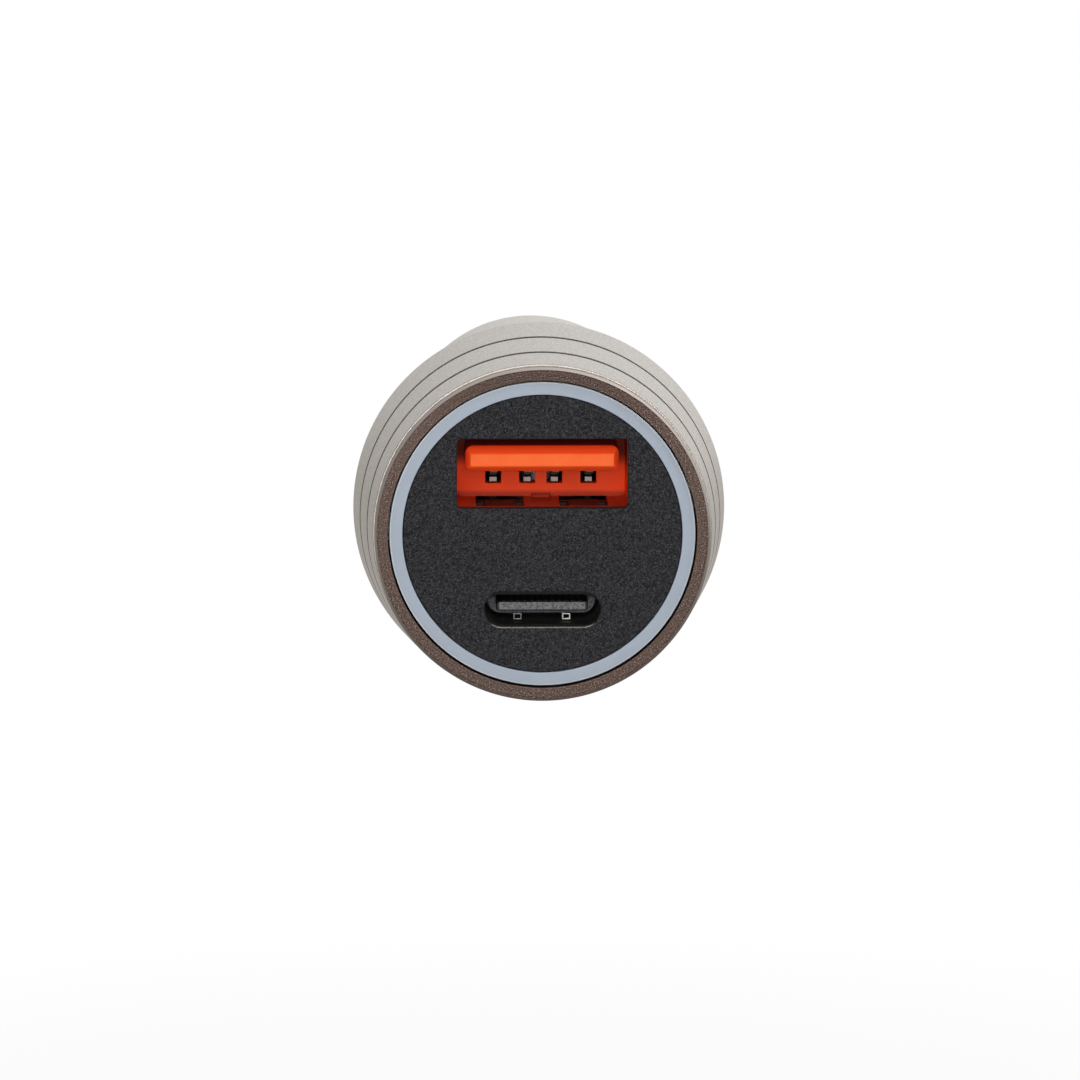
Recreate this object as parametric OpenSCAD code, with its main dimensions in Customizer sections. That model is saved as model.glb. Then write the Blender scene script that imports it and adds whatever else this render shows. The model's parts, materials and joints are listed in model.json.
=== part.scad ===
// In-car USB charger plug with two ports, a lit ring and a metal body. The plug's axis runs
// along Y, with the face towards -Y and the tip towards +Y, and Z is up. A depth is a distance
// along the axis, counted from the front plane of the face. The origin is on the axis, in the
// middle of the plain stretch of barrel that a socket holds. Sizes are in millimetres.

/* [Head] */
// Radius of the head at the face
face_edge_r = 12.2; // [12:0.1:12.8]
// Largest radius of the head
head_r = 13.86; // [13.4:0.02:15]
// Length of the flaring head, from the face to the largest radius
head_len = 16; // [15:0.5:20]
// Radius of the rounded back edge of the head
head_round = 1; // [0.6:0.1:1.4]
// Number of bands that the ring grooves divide the head into
band_count = 3; // [2:1:5]
// Width of each ring groove
groove_w = 0.5; // [0.2:0.05:0.7]
// Depth of each ring groove
groove_depth = 0.3; // [0.1:0.05:0.5]

/* [Trim around the face] */
// Width of the trim ring, seen from the front
bezel_w = 1; // [0.8:0.05:1.1]
// Thickness of the trim ring in front of the head
bezel_t = 1; // [0.8:0.1:1.4]
// Chamfer on both front edges of the trim ring
bezel_chamfer = 0.18; // [0.05:0.01:0.25]
// Gap between the trim ring and the head
bezel_gap = 0.12; // [0.05:0.01:0.3]
// Length of the skirt that seats the trim ring in the head
bezel_skirt_len = 1.9; // [1.2:0.1:2.2]
// Wall of that skirt
bezel_skirt_t = 0.5; // [0.4:0.05:0.55]

/* [Light ring and faceplate] */
// Depth of the light ring and the faceplate behind the trim ring
face_recess = 0.5; // [0.3:0.05:0.7]
// Width of the light ring, seen from the front
light_ring_w = 0.94; // [0.8:0.02:1.1]
// Gap between the light ring and the trim ring
light_ring_gap = 0.1; // [0.05:0.01:0.2]
// Gap between the faceplate and the light ring
faceplate_gap = 0.04; // [0.02:0.01:0.1]
// Thickness of the faceplate
faceplate_t = 1; // [0.8:0.05:1.2]
// Width of the ledge of the light ring that the faceplate rests on
ledge_w = 0.25; // [0.15:0.05:0.4]
// Thickness of that ledge
ledge_t = 0.6; // [0.5:0.05:0.8]
// Wall of the light ring's skirt, which stands on the lamp board
light_skirt_t = 0.55; // [0.4:0.05:0.6]

/* [Lamps] */
// Length of a lamp, along the ring
led_l = 1.6; // [1.2:0.1:2]
// Width of a lamp
led_w = 0.5; // [0.4:0.05:0.55]
// Height of a lamp
led_h = 0.6; // [0.4:0.05:0.65]
// Height of the notch in the light ring over each lamp
led_notch_h = 0.8; // [0.7:0.05:1]
// Room at each end of a lamp in its notch
led_notch_side = 0.3; // [0.2:0.05:0.5]
// Thickness of the lamp board
led_board_t = 1; // [0.8:0.1:1.2]

/* [Upper port] */
// Width of the upper port's opening
usb_a_w = 12.4; // [12.2:0.05:12.6]
// Height of the upper port's opening
usb_a_h = 5.05; // [4.75:0.05:5.1]
// Height of the middle of the upper port above the axis
usb_a_z = 4.4; // [4.2:0.05:4.5]
// Corner radius of the upper port's opening
usb_a_corner = 0.3; // [0.1:0.05:0.5]
// Depth of the upper port's cavity
usb_a_depth = 6.1; // [5.5:0.1:6.5]
// Wall of the orange housing
usb_a_wall = 0.45; // [0.4:0.05:0.5]
// Thickness of the housing's back wall
usb_a_back_t = 1.4; // [1.2:0.1:1.8]
// Space at each end of the tongue
tongue_side_gap = 0.6; // [0.4:0.05:0.8]
// Thickness of the tongue
tongue_t = 1.88; // [1.8:0.02:1.95]
// Space above the tongue
tongue_gap = 0.66; // [0.4:0.02:0.7]
// Depth of the tongue's front behind the opening
tongue_recess = 0.2; // [0.1:0.05:1]
// Length of the chamfer on the tongue's two front edges
tongue_chamfer = 0.55; // [0.3:0.05:0.7]
// Height of the chamfer on the tongue's upper front edge
tongue_top_cut = 0.6; // [0.3:0.05:0.7]
// Height of the chamfer on the tongue's lower front edge
tongue_low_cut = 0.42; // [0.2:0.02:0.5]
// Width of the chamfer at each end of the tongue's front
tongue_side_cut = 0.4; // [0.2:0.05:0.6]
// Corner radius of the tongue, seen from the front
tongue_corner = 0.6; // [0.2:0.05:0.7]
// Width of a contact window in the back wall
window_w = 1.15; // [1:0.05:1.3]
// Height of the wall below the contact windows
window_sill = 0.97; // [0.7:0.01:1.1]
// Width of each of the two spring slots that run along the floor
floor_slot_w = 3.5; // [3:0.1:3.8]
// Distance from the middle of the port to the middle of each spring slot
floor_slot_x = 3.05; // [2.8:0.05:3.2]
// Distance of the spring slots from the front of the housing
floor_slot_y = 0.5; // [0.4:0.05:0.8]
// Width of the notch in the middle of the floor
floor_notch_w = 1.35; // [1:0.05:1.6]
// Length of that notch
floor_notch_l = 2.1; // [1.5:0.1:2.4]
// Depth of that notch
floor_notch_depth = 0.2; // [0.1:0.05:0.3]
// Thickness of the sheet of the steel shells
shell_t = 0.3; // [0.25:0.01:0.35]
// Distance of the upper port's steel shell from the front of the housing
shell_setback = 0.8; // [0.7:0.05:1]
// Length of the upper port's steel shell
shell_l = 5.9; // [5:0.1:6]
// Width of the two springs in the floor of the steel shell
shell_spring_w = 2.2; // [1.8:0.1:2.4]
// Length of those springs
shell_spring_l = 5; // [4:0.1:5.2]
// Rise of those springs
shell_spring_rise = 0.25; // [0.1:0.05:0.3]
// Length of the legs that stand the steel shell on the board
shell_leg_l = 2; // [1.5:0.1:2.5]
// Distance between the middle pair of contacts
contact_pitch_in = 2; // [1.9:0.05:2.1]
// Distance between the outer contacts and their neighbours
contact_pitch_out = 2.5; // [2.4:0.05:2.6]
// Width of a contact strip of the upper port
contact_strip_w = 0.6; // [0.5:0.05:0.8]
// Thickness of a contact strip of the upper port
contact_strip_t = 0.25; // [0.2:0.01:0.3]
// Distance of a contact strip's end from the front of the housing
contact_setback = 1.7; // [1.5:0.1:2.2]
// Depth of the upright part of a contact behind the face of the back wall
contact_inset = 0.9; // [0.8:0.05:1.1]
// Depth of a contact's foot behind the face of the back wall
contact_foot_inset = 0.3; // [0.1:0.05:0.5]
// Height of a contact's foot
contact_foot_h = 0.42; // [0.3:0.02:0.6]

/* [Lower port] */
// Width of the lower port's opening
usb_c_w = 8.34; // [8.3:0.01:8.4]
// Height of the lower port's opening
usb_c_h = 2.5; // [2.46:0.01:2.6]
// Distance of the middle of the lower port below the axis
usb_c_drop = 5.52; // [5.4:0.02:5.7]
// Depth of the lower port's cavity
usb_c_depth = 6.2; // [6:0.1:6.4]
// Edge of the steel shell left showing around the opening
usb_c_reveal = 0.05; // [0.02:0.01:0.1]
// Width of the lower port's tongue
usb_c_tongue_w = 6.69; // [6.6:0.01:6.7]
// Thickness of the lower port's tongue
usb_c_tongue_t = 0.7; // [0.66:0.01:0.72]
// Depth of the lower port's tongue behind the front of its shell
usb_c_tongue_recess = 0.6; // [0.5:0.05:1.3]
// Thickness of the base that the lower port's tongue stands on
usb_c_base_t = 1.9; // [1.5:0.1:2.1]
// Width of that base
usb_c_base_w = 7.9; // [7.7:0.05:8]
// Length of that base
usb_c_base_l = 2.3; // [1:0.1:2.6]
// Thickness of the insulator block behind the cavity
usb_c_block_t = 1.5; // [1.2:0.1:2]
// Contacts on each side of the lower port's tongue
usb_c_contact_count = 12; // [8:2:12]
// Distance between neighbouring contacts of the lower port
usb_c_pitch = 0.5; // [0.45:0.05:0.5]
// Width of a contact strip of the lower port
usb_c_strip_w = 0.28; // [0.2:0.02:0.3]
// Thickness of a contact strip of the lower port
usb_c_strip_t = 0.05; // [0.04:0.01:0.08]
// Distance from the middle of the lower port to each raised tab on its floor
usb_c_tab_x = 1.78; // [1.5:0.02:2.2]
// Width and height of those tabs
usb_c_tab = 0.58; // [0.4:0.02:0.6]
// Hole in those tabs
usb_c_tab_hole = 0.26; // [0.2:0.02:0.3]
// Depth of those tabs behind the front of the shell
usb_c_tab_y = 1.7; // [1.2:0.1:4]

/* [Barrel] */
// Radius of the plain stretch of barrel that a socket holds
barrel_r = 10.45; // [10.2:0.01:10.5]
// Length of the barrel, from the head to its end
barrel_len = 38.8; // [37:0.2:44]
// Wall of the barrel
barrel_wall = 1; // [0.8:0.05:1.1]
// Length of the plain stretch of barrel next to the head
seat_len = 12; // [8:0.5:12.5]
// Width of the ring groove that ends the plain stretch
relief_w = 0.6; // [0.4:0.1:1]
// Depth of that groove
relief_depth = 0.2; // [0.1:0.05:0.4]
// How much the rest of the barrel is smaller in radius
barrel_step = 0.05; // [0.02:0.01:0.2]
// Chamfer at the end of the barrel
barrel_chamfer = 0.5; // [0.3:0.1:0.7]

/* [Side contacts] */
// Distance from the middle of the side contacts to the end of the barrel
side_contact_from_end = 15.3; // [14:0.1:16]
// Length of a side contact's bow
bow_len = 13; // [11:0.5:14]
// Width of a side contact
side_contact_w = 5; // [4:0.1:5.2]
// How far a side contact stands out of the barrel
bow_out = 1.15; // [0.8:0.05:1.2]
// Thickness of a side contact's strip
bow_t = 0.5; // [0.4:0.05:0.6]
// Length of the lip at each end of a side contact
lip_len = 1.2; // [0.8:0.1:1.5]
// Gap between a side contact and the sides of its slot
slot_side_gap = 0.2; // [0.15:0.05:0.4]
// Gap between the ends of a side contact's bow and its slot
slot_end_gap = 0.3; // [0.2:0.05:0.4]
// Gap between a side contact's lips and the barrel
lip_gap = 0.15; // [0.1:0.05:0.3]
// Travel of a side contact when it is pressed in
side_contact_travel = 1.5; // [1.4:0.05:1.6]
// Outer radius of the spring behind a side contact
side_spring_r = 1.5; // [1.2:0.1:1.6]
// Wire radius of that spring
side_spring_wire = 0.16; // [0.12:0.01:0.2]
// Corner radius of the slots for the side contacts
slot_corner = 0.5; // [0.2:0.1:0.8]
// Distance of the clips that the springs push against from the edges of the board
clip_edge_gap = 1.6; // [1.4:0.1:2]
// Height of a clip above the middle of its spring
clip_rise = 2.2; // [1.8:0.1:2.6]
// Thickness of the clips' sheet
clip_t = 0.5; // [0.4:0.05:0.6]
// Length of a clip along the plug
clip_l = 5; // [4:0.1:6]
// Length of a clip's foot across the board
clip_foot = 1.4; // [1:0.1:1.8]

/* [Nose and tip] */
// Thickness of the nose's collar at the end of the barrel
nose_collar_t = 1; // [0.8:0.1:1.5]
// Width by which the collar stays inside the end of the barrel
nose_collar_inset = 0.25; // [0.1:0.05:0.5]
// Length of the nose in front of its collar
nose_cone_len = 4.7; // [4:0.1:6]
// Chamfer on the nose's collar
nose_collar_chamfer = 0.3; // [0.2:0.05:0.4]
// Width of the flat shoulder between the collar's chamfer and the nose
nose_shoulder_w = 0.75; // [0.5:0.05:1]
// Radius of the nose at its end
nose_tip_r = 5.6; // [5.2:0.1:6.5]
// Radius of the rounded edge at the nose's end
nose_round = 0.8; // [0.4:0.1:1]
// Radius of the centre contact
tip_r = 2.45; // [2.2:0.05:2.8]
// Running clearance around the centre contact
tip_clearance = 0.05; // [0.03:0.01:0.09]
// How far the centre contact stands out of the nose
tip_out = 2.7; // [2.6:0.1:3.4]
// Radius of the rounded edge of the centre contact
tip_round = 1.3; // [0.6:0.1:1.6]
// Radius of the centre contact's flange
tip_flange_r = 4.3; // [3.8:0.1:4.6]
// Thickness of that flange
tip_flange_t = 1.2; // [1:0.1:1.6]
// Gap around the flange
tip_flange_gap = 0.3; // [0.2:0.05:0.5]
// Thickness of the nose's wall in front of the flange
nose_lip_t = 2.9; // [2.4:0.1:3.4]
// Travel of the centre contact when it is pressed in
tip_travel = 2.5; // [2:0.1:2.6]
// Length of the centre spring when the contact is pressed in
tip_spring_pressed = 2.5; // [2.4:0.1:3]
// Length of the pilot that centres the spring on the contact
pilot_len = 2; // [1.5:0.1:2.2]
// Radius of that pilot
pilot_r = 1.3; // [1:0.1:1.5]
// Outer radius of the spring behind the centre contact
tip_spring_r = 2.4; // [2.2:0.1:2.8]
// Wire radius of that spring
tip_spring_wire = 0.25; // [0.2:0.01:0.28]
// Radius of the terminal plate that the spring pushes against
terminal_r = 5.5; // [5.2:0.1:6.2]
// Thickness of the terminal plate
terminal_t = 0.5; // [0.4:0.05:0.8]

/* [Board and carrier] */
// Wall of the moulded tube that carries the board
carrier_wall = 0.8; // [0.7:0.05:0.9]
// Clearance of the tube and the nose inside the barrel
insert_gap = 0.05; // [0.03:0.01:0.1]
// Thickness of the tube's flange inside the head
carrier_flange_t = 1; // [0.8:0.1:1.4]
// Thickness of the main board
board_t = 1.2; // [1:0.1:1.6]
// Gap between the edges of the main board and the tube
board_edge_gap = 0.13; // [0.1:0.01:0.3]
// Gap between the lamp board and the main board
board_front_gap = 0.2; // [0.1:0.05:0.5]
// Height of the rails that hold the board
rail_h = 0.8; // [0.6:0.1:1]
// Overlap of the rails over the edge of the board
rail_overlap = 0.4; // [0.3:0.05:0.6]

/* [Parts on the board] */
// Radius of the inductor
inductor_r = 4; // [3.5:0.1:4.2]
// Height of the inductor
inductor_h = 5.5; // [4.5:0.1:6]
// Thickness of the inductor's flanges
inductor_flange_t = 1.1; // [0.8:0.1:1.3]
// Radius of the inductor's post
inductor_post_r = 1.8; // [1.5:0.1:2]
// Gap between the winding and the rim of the inductor
winding_inset = 0.45; // [0.3:0.05:0.6]
// Radius of the input capacitor
input_can_r = 4; // [3.5:0.1:4]
// Room between the top of the input capacitor and the tube
input_can_room = 1.9; // [1.5:0.1:3]
// Radius of the output capacitor
output_can_r = 3.15; // [2.5:0.05:3.3]
// Height of the output capacitor
output_can_h = 7; // [5:0.1:7.5]
// Rounding of the capacitors' top edges
can_round = 0.5; // [0.3:0.1:0.7]
// Height of the crimp groove around the capacitors
can_groove_z = 1.2; // [1:0.1:1.6]
// Radius of that groove
can_groove_r = 0.25; // [0.15:0.05:0.3]
// Width of the converter chip's body
converter_w = 3.9; // [3.8:0.1:4]
// Length of the converter chip's body
converter_l = 4.9; // [4.8:0.1:5]
// Height of the converter chip's body
converter_h = 1.5; // [1.2:0.1:1.7]
// Width of the converter chip over its legs
converter_span = 6; // [5.8:0.1:6.2]
// Distance between the legs
leg_pitch = 1.27; // [1.2:0.01:1.3]
// Width of a leg
leg_w = 0.42; // [0.35:0.01:0.5]
// Thickness of a leg
leg_t = 0.25; // [0.15:0.05:0.3]
// Side of the square port controller chip
protocol_w = 4; // [3:0.1:4]
// Height of that chip
protocol_h = 0.9; // [0.7:0.05:1]
// Width of the diode's body
diode_w = 2.6; // [2.2:0.1:2.8]
// Length of the diode's body
diode_l = 4.3; // [3.8:0.1:4.6]
// Height of the diode's body
diode_h = 2.2; // [1.8:0.1:2.4]
// Length over the diode's tabs
diode_span = 5.2; // [4.8:0.1:5.6]
// Width of the diode's tabs
diode_tab_w = 1.4; // [1.2:0.1:1.8]
// Thickness of the diode's tabs
diode_tab_t = 0.3; // [0.2:0.05:0.4]
// Width of the fuse
fuse_w = 2.6; // [2.2:0.1:2.7]
// Length of the fuse's body between its end caps
fuse_body_l = 3.6; // [3:0.1:4]
// Height of the fuse's body
fuse_h = 2.4; // [2:0.1:2.5]
// Length of the fuse over its end caps
fuse_l = 6.1; // [5:0.1:6.1]
// How much the end caps stand inside the fuse's body on each face
fuse_cap_inset = 0.05; // [0.02:0.01:0.1]
// Length of the small chip parts, across the plug
small_part_l = 1.6; // [1.4:0.1:1.8]
// Width of the small chip parts
small_part_w = 0.8; // [0.7:0.05:1]
// Height of a ceramic capacitor
ceramic_h = 0.8; // [0.6:0.1:1]
// Height of a resistor
resistor_h = 0.5; // [0.4:0.05:0.6]
// Distance between neighbouring small chip parts
small_part_pitch = 2; // [1.4:0.1:2.2]
// Gap between neighbouring large parts
part_gap = 0.3; // [0.25:0.05:0.6]
// Gap between the board's edge and the parts beside it
edge_part_gap = 0.9; // [0.8:0.1:1]

/* [Hidden] */
$fn = 96;

// Lamps behind the light ring, each a sub-part of its own
led_count = 6;

// Length by which a cut runs past the faces that it opens
cut_over = 1;

// Depths along the plug, from the front of the face
light_skirt_land = 0.1;
head_floor_t = 1.5;
head_front_y = bezel_t + bezel_gap;
skirt_seat_y = bezel_t + bezel_skirt_len;
faceplate_back_y = face_recess + faceplate_t;
ledge_back_y = faceplate_back_y + ledge_t;
led_front_y = max(skirt_seat_y, ledge_back_y) + led_notch_h + light_skirt_land;
led_seat_y = led_front_y + led_board_t;
board_front_y = led_seat_y + board_front_gap;
shoulder_y = head_len + head_round;
head_floor_y = shoulder_y - head_floor_t;
origin_y = shoulder_y + seat_len / 2;
seat_end_y = shoulder_y + seat_len;
barrel_end_y = shoulder_y + barrel_len;
side_contact_y = barrel_end_y - side_contact_from_end;
nose_collar_y = barrel_end_y + nose_collar_t;
nose_end_y = nose_collar_y + nose_cone_len;
lip_back_y = nose_end_y - nose_lip_t;
flange_back_y = lip_back_y - tip_flange_t;
nose_back_y = flange_back_y - tip_travel - tip_spring_pressed;
terminal_y = nose_back_y - terminal_t;
board_end_y = terminal_y;

// Radii of the head's stepped bore and of what sits in it
bezel_in_r = face_edge_r - bezel_w;
skirt_r = bezel_in_r + bezel_skirt_t;
light_ring_r = bezel_in_r - light_ring_gap;
light_ring_in_r = light_ring_r - light_ring_w;
faceplate_r = light_ring_in_r - faceplate_gap;
led_r = light_ring_r - light_skirt_t / 2;
led_board_gap = 0.08;
barrel_bore_r = barrel_r - barrel_wall;
barrel_rest_r = barrel_r - barrel_step;
carrier_r = barrel_bore_r - insert_gap;
carrier_in_r = carrier_r - carrier_wall;
tip_bore_r = tip_r + tip_clearance;
tip_chamber_r = tip_flange_r + tip_flange_gap;
nose_collar_r = barrel_rest_r - barrel_chamfer - nose_collar_inset;
nose_base_r = nose_collar_r - nose_collar_chamfer - nose_shoulder_w;

// Upper port, seen from the front
usb_a_low = usb_a_z - usb_a_h / 2;
usb_a_high = usb_a_z + usb_a_h / 2;
housing_w = usb_a_w + 2 * usb_a_wall;
housing_h = usb_a_h + 2 * usb_a_wall;
usb_a_shell_w = housing_w + 2 * shell_t;
usb_a_shell_h = housing_h + 2 * shell_t;
usb_a_front_y = faceplate_back_y;
usb_a_floor_y = usb_a_front_y + usb_a_depth;
usb_a_back_y = usb_a_floor_y + usb_a_back_t;
shell_front_y = usb_a_front_y + shell_setback;
shell_back_y = shell_front_y + shell_l;
tongue_w = usb_a_w - 2 * tongue_side_gap;
tongue_high = usb_a_high - tongue_gap;
tongue_low = tongue_high - tongue_t;
window_low = usb_a_low + window_sill;
contact_tail_gap = 0.65;
contact_knee_gap = 0.05;
contact_knee = window_low + contact_knee_gap;
housing_foot_inset = 0.6;
housing_foot_gap = 0.2;
shell_leg_gap = 0.4;
port_clearance = 0.1;
port_corner_r = norm([usb_a_shell_w / 2, usb_a_z + usb_a_shell_h / 2]);
head_bore_gap = 0.35;
head_bore_r = port_corner_r + head_bore_gap;

// Lower port and the board that it hangs from
usb_c_shell_h = usb_c_h + 2 * shell_t;
usb_c_shell_w = usb_c_w + 2 * shell_t;
usb_c_low = -usb_c_drop - usb_c_h / 2;
usb_c_floor_y = faceplate_back_y + usb_c_depth;
usb_c_base_y = usb_c_floor_y - usb_c_base_l;
usb_c_back_y = usb_c_floor_y + usb_c_block_t;
usb_c_block_gap = 0.02;
usb_c_tongue_corner = 0.2;
usb_c_strip_setback = 0.3;
usb_c_tail_t = 0.12;
usb_c_tail_l = 0.9;
usb_c_tab_t = 0.2;
board_low = -usb_c_drop + usb_c_shell_h / 2;
board_high = board_low + board_t;
board_half_w = sqrt(pow(carrier_in_r, 2) - pow(board_low, 2)) - board_edge_gap;

rail_root = 0.1;

// Side contacts, whose lips wait just inside the barrel's bore
slot_w = side_contact_w + 2 * slot_side_gap;
slot_l = bow_len + 2 * slot_end_gap;
lip_x = sqrt(pow(barrel_bore_r, 2) - pow(side_contact_w / 2, 2)) - lip_gap;
bow_x = barrel_rest_r + bow_out;
bow_rise = bow_x - lip_x;
bow_r = (pow(bow_len / 2, 2) + pow(bow_rise, 2)) / (2 * bow_rise);
side_contact_l = bow_len + 2 * lip_len;
window_end_gap = 0.7;
window_side_gap = 0.2;
side_spring_gap = 0.05;
side_spring_end = bow_x - bow_r + sqrt(pow(bow_r - bow_t, 2) - pow(side_spring_r, 2)) - side_spring_gap;
side_spring_turns = 4;
tip_spring_turns = 4;
clip_x = board_half_w - clip_edge_gap;
clip_front_y = side_contact_y - clip_l / 2;
clip_back_y = side_contact_y + clip_l / 2;

// Places of the parts on the board: x across the plug and depth along it
input_can_h = sqrt(pow(carrier_in_r, 2) - pow(input_can_r, 2)) - board_high - input_can_room;
contact_tails_end_y = usb_a_back_y + contact_tail_gap + contact_strip_t;
output_can_gap = 1.5;
output_can_at = [0, contact_tails_end_y + output_can_gap + output_can_r];
inductor_at = [0, output_can_at[1] + output_can_r + part_gap + inductor_r];
converter_at = [0, inductor_at[1] + inductor_r + part_gap + converter_l / 2];
diode_at = [board_half_w - edge_part_gap - diode_w / 2, clip_front_y - part_gap - diode_span / 2];
input_can_at = [0, clip_back_y + part_gap + input_can_r];
protocol_at = [0, inductor_at[1]];
fuse_at = [0, input_can_at[1]];
ceramic_at = [for (i = [0:4]) [-(board_half_w - edge_part_gap - small_part_l / 2),
    clip_front_y - part_gap - small_part_w / 2 - small_part_pitch * i]];
resistor_at = [for (side = [-1, 1]) for (i = [0:2]) [side * (converter_span - small_part_l) / 2,
    converter_at[1] + small_part_pitch * (i - 1)]];

silver = [0.75, 0.73, 0.70];
trim_brown = [0.36, 0.29, 0.26];
pale_light = [0.66, 0.70, 0.75];
face_black = [0.17, 0.17, 0.19];
port_orange = [0.93, 0.38, 0.18];
steel = [0.62, 0.62, 0.64];
gold = [0.83, 0.68, 0.36];
copper = [0.72, 0.42, 0.25];
board_green = [0.10, 0.35, 0.20];
ferrite = [0.24, 0.24, 0.26];
chip_black = [0.09, 0.09, 0.10];

// A shape given by depth is placed in the plug's own frame
module in_plug() {
    translate([0, -origin_y, 0]) children();
}

// A profile with radius as x and depth as y, turned about the plug's axis
module turned() {
    in_plug() rotate([-90, 0, 0]) rotate_extrude() children();
}

// An outline seen from the front, pulled from one depth to another
module pulled(from_y, to_y) {
    in_plug() translate([0, to_y, 0]) rotate([90, 0, 0]) linear_extrude(to_y - from_y) children();
}

// A rectangle with round corners, about the middle
module round_rect(w, h, r) {
    square([w - 2 * r, h], center = true);
    square([w, h - 2 * r], center = true);
    for (x = [-1, 1])
        for (y = [-1, 1])
            translate([x * (w / 2 - r), y * (h / 2 - r)]) circle(r);
}

// A slot with half-round ends, about the middle
module round_slot(w, h) {
    square([w - h, h], center = true);
    for (x = [-1, 1])
        translate([x * (w - h) / 2, 0]) circle(h / 2);
}

// A box given by its corners, with depth as y
module block(x, y, z) {
    in_plug() translate([x[0], y[0], z[0]]) cube([x[1] - x[0], y[1] - y[0], z[1] - z[0]]);
}

// A block standing on the upper side of the board, given by its middle, length and width
module on_board(at, across, along, tall) {
    block([at[0] - across / 2, at[0] + across / 2], [at[1] - along / 2, at[1] + along / 2],
        [board_high, board_high + tall]);
}

// The same under the board
module under_board(at, across, along, tall) {
    block([at[0] - across / 2, at[0] + across / 2], [at[1] - along / 2, at[1] + along / 2],
        [board_low - tall, board_low]);
}

// A coil spring along Z, from 0 to its length, swept as an eight-sided wire
module coil(outer_r, wire_r, length, turns) {
    sides = 8;
    steps = turns * 20;
    mid_r = outer_r - wire_r;
    rise = length - 2 * wire_r;
    points = [for (i = [0:steps]) for (k = [0:sides - 1])
        let (turn = 360 * turns * i / steps, wire = 360 * k / sides,
            out = mid_r + wire_r * cos(wire))
        [out * cos(turn), out * sin(turn), wire_r + rise * i / steps + wire_r * sin(wire)]];
    walls = [for (i = [0:steps - 1]) for (k = [0:sides - 1])
        [i * sides + k, i * sides + (k + 1) % sides,
            (i + 1) * sides + (k + 1) % sides, (i + 1) * sides + k]];
    ends = [[for (k = [0:sides - 1]) sides - 1 - k],
        [for (k = [0:sides - 1]) steps * sides + k]];
    polyhedron(points = points, faces = concat(walls, ends), convexity = 10);
}

// Radius of the head's outer cone at a depth
function head_r_at(y) = face_edge_r + (head_r - face_edge_r) * y / head_len;

module body_shell() {
    color(silver)
    difference() {
        turned() difference() {
            union() {
                polygon([[skirt_r + insert_gap, head_front_y],
                    [head_r_at(head_front_y), head_front_y], [head_r, head_len],
                    [head_r - head_round, shoulder_y], [barrel_r, shoulder_y],
                    [barrel_r, seat_end_y], [barrel_r - relief_depth, seat_end_y],
                    [barrel_r - relief_depth, seat_end_y + relief_w],
                    [barrel_rest_r, seat_end_y + relief_w],
                    [barrel_rest_r, barrel_end_y - barrel_chamfer],
                    [barrel_rest_r - barrel_chamfer, barrel_end_y], [barrel_bore_r, barrel_end_y],
                    [barrel_bore_r, head_floor_y], [head_bore_r, head_floor_y],
                    [head_bore_r, led_seat_y], [bezel_in_r, led_seat_y],
                    [bezel_in_r, skirt_seat_y], [skirt_r + insert_gap, skirt_seat_y]]);
                translate([head_r - head_round, head_len]) circle(head_round);
            }
            for (i = [1:band_count - 1])
                translate([head_r_at(head_len * i / band_count) - groove_depth,
                    head_len * i / band_count - groove_w / 2])
                    square([groove_depth + cut_over, groove_w]);
        }
        for (side = [-1, 1])
            in_plug() translate([side * barrel_r, side_contact_y, 0]) rotate([0, 90, 0])
                linear_extrude(4 * barrel_wall, center = true) round_rect(slot_w, slot_l, slot_corner);
    }
}

module bezel_ring() {
    color(trim_brown)
    turned() polygon([[bezel_in_r, bezel_chamfer], [bezel_in_r + bezel_chamfer, 0],
        [face_edge_r - bezel_chamfer, 0], [face_edge_r, bezel_chamfer], [face_edge_r, bezel_t],
        [skirt_r, bezel_t], [skirt_r, skirt_seat_y], [bezel_in_r, skirt_seat_y]]);
}

// The upper port's housing and shell with room around them, which rings and boards leave free
module usb_a_room() {
    pulled(faceplate_back_y, led_seat_y + cut_over) translate([0, usb_a_z])
        square([usb_a_shell_w + 2 * port_clearance, usb_a_shell_h + 2 * port_clearance],
            center = true);
}

module light_ring() {
    color(pale_light)
    difference() {
        turned() polygon([[light_ring_in_r, face_recess], [light_ring_r, face_recess],
            [light_ring_r, led_front_y], [light_ring_r - light_skirt_t, led_front_y],
            [light_ring_r - light_skirt_t, ledge_back_y], [faceplate_r - ledge_w, ledge_back_y],
            [faceplate_r - ledge_w, faceplate_back_y], [light_ring_in_r, faceplate_back_y]]);
        usb_a_room();
        for (i = [1:led_count])
            led_place(i) translate([-led_l / 2 - led_notch_side, -light_skirt_t / 2 - cut_over, -cut_over])
                cube([led_l + 2 * led_notch_side, light_skirt_t + 2 * cut_over, led_notch_h + cut_over]);
    }
}

// Place of a lamp: x along the ring, y outwards and z towards the face
module led_place(i) {
    in_plug() translate([0, led_front_y, 0]) rotate([90, 360 * (i - 1) / led_count, 0])
        translate([0, led_r, 0]) children();
}

module faceplate() {
    color(face_black)
    difference() {
        turned() square([faceplate_r, faceplate_back_y]);
        turned() square([faceplate_r + cut_over, face_recess]);
        pulled(0, faceplate_back_y + cut_over) translate([0, usb_a_z])
            round_rect(usb_a_w, usb_a_h, usb_a_corner);
        pulled(0, faceplate_back_y + cut_over) translate([0, -usb_c_drop])
            round_slot(usb_c_w + 2 * usb_c_reveal, usb_c_h + 2 * usb_c_reveal);
    }
}

// Middle of each contact of the upper port, across the plug
function contact_x(i) = [-1, -1, 1, 1][i - 1] * contact_pitch_in / 2
    + [-1, 0, 0, 1][i - 1] * contact_pitch_out;

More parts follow.
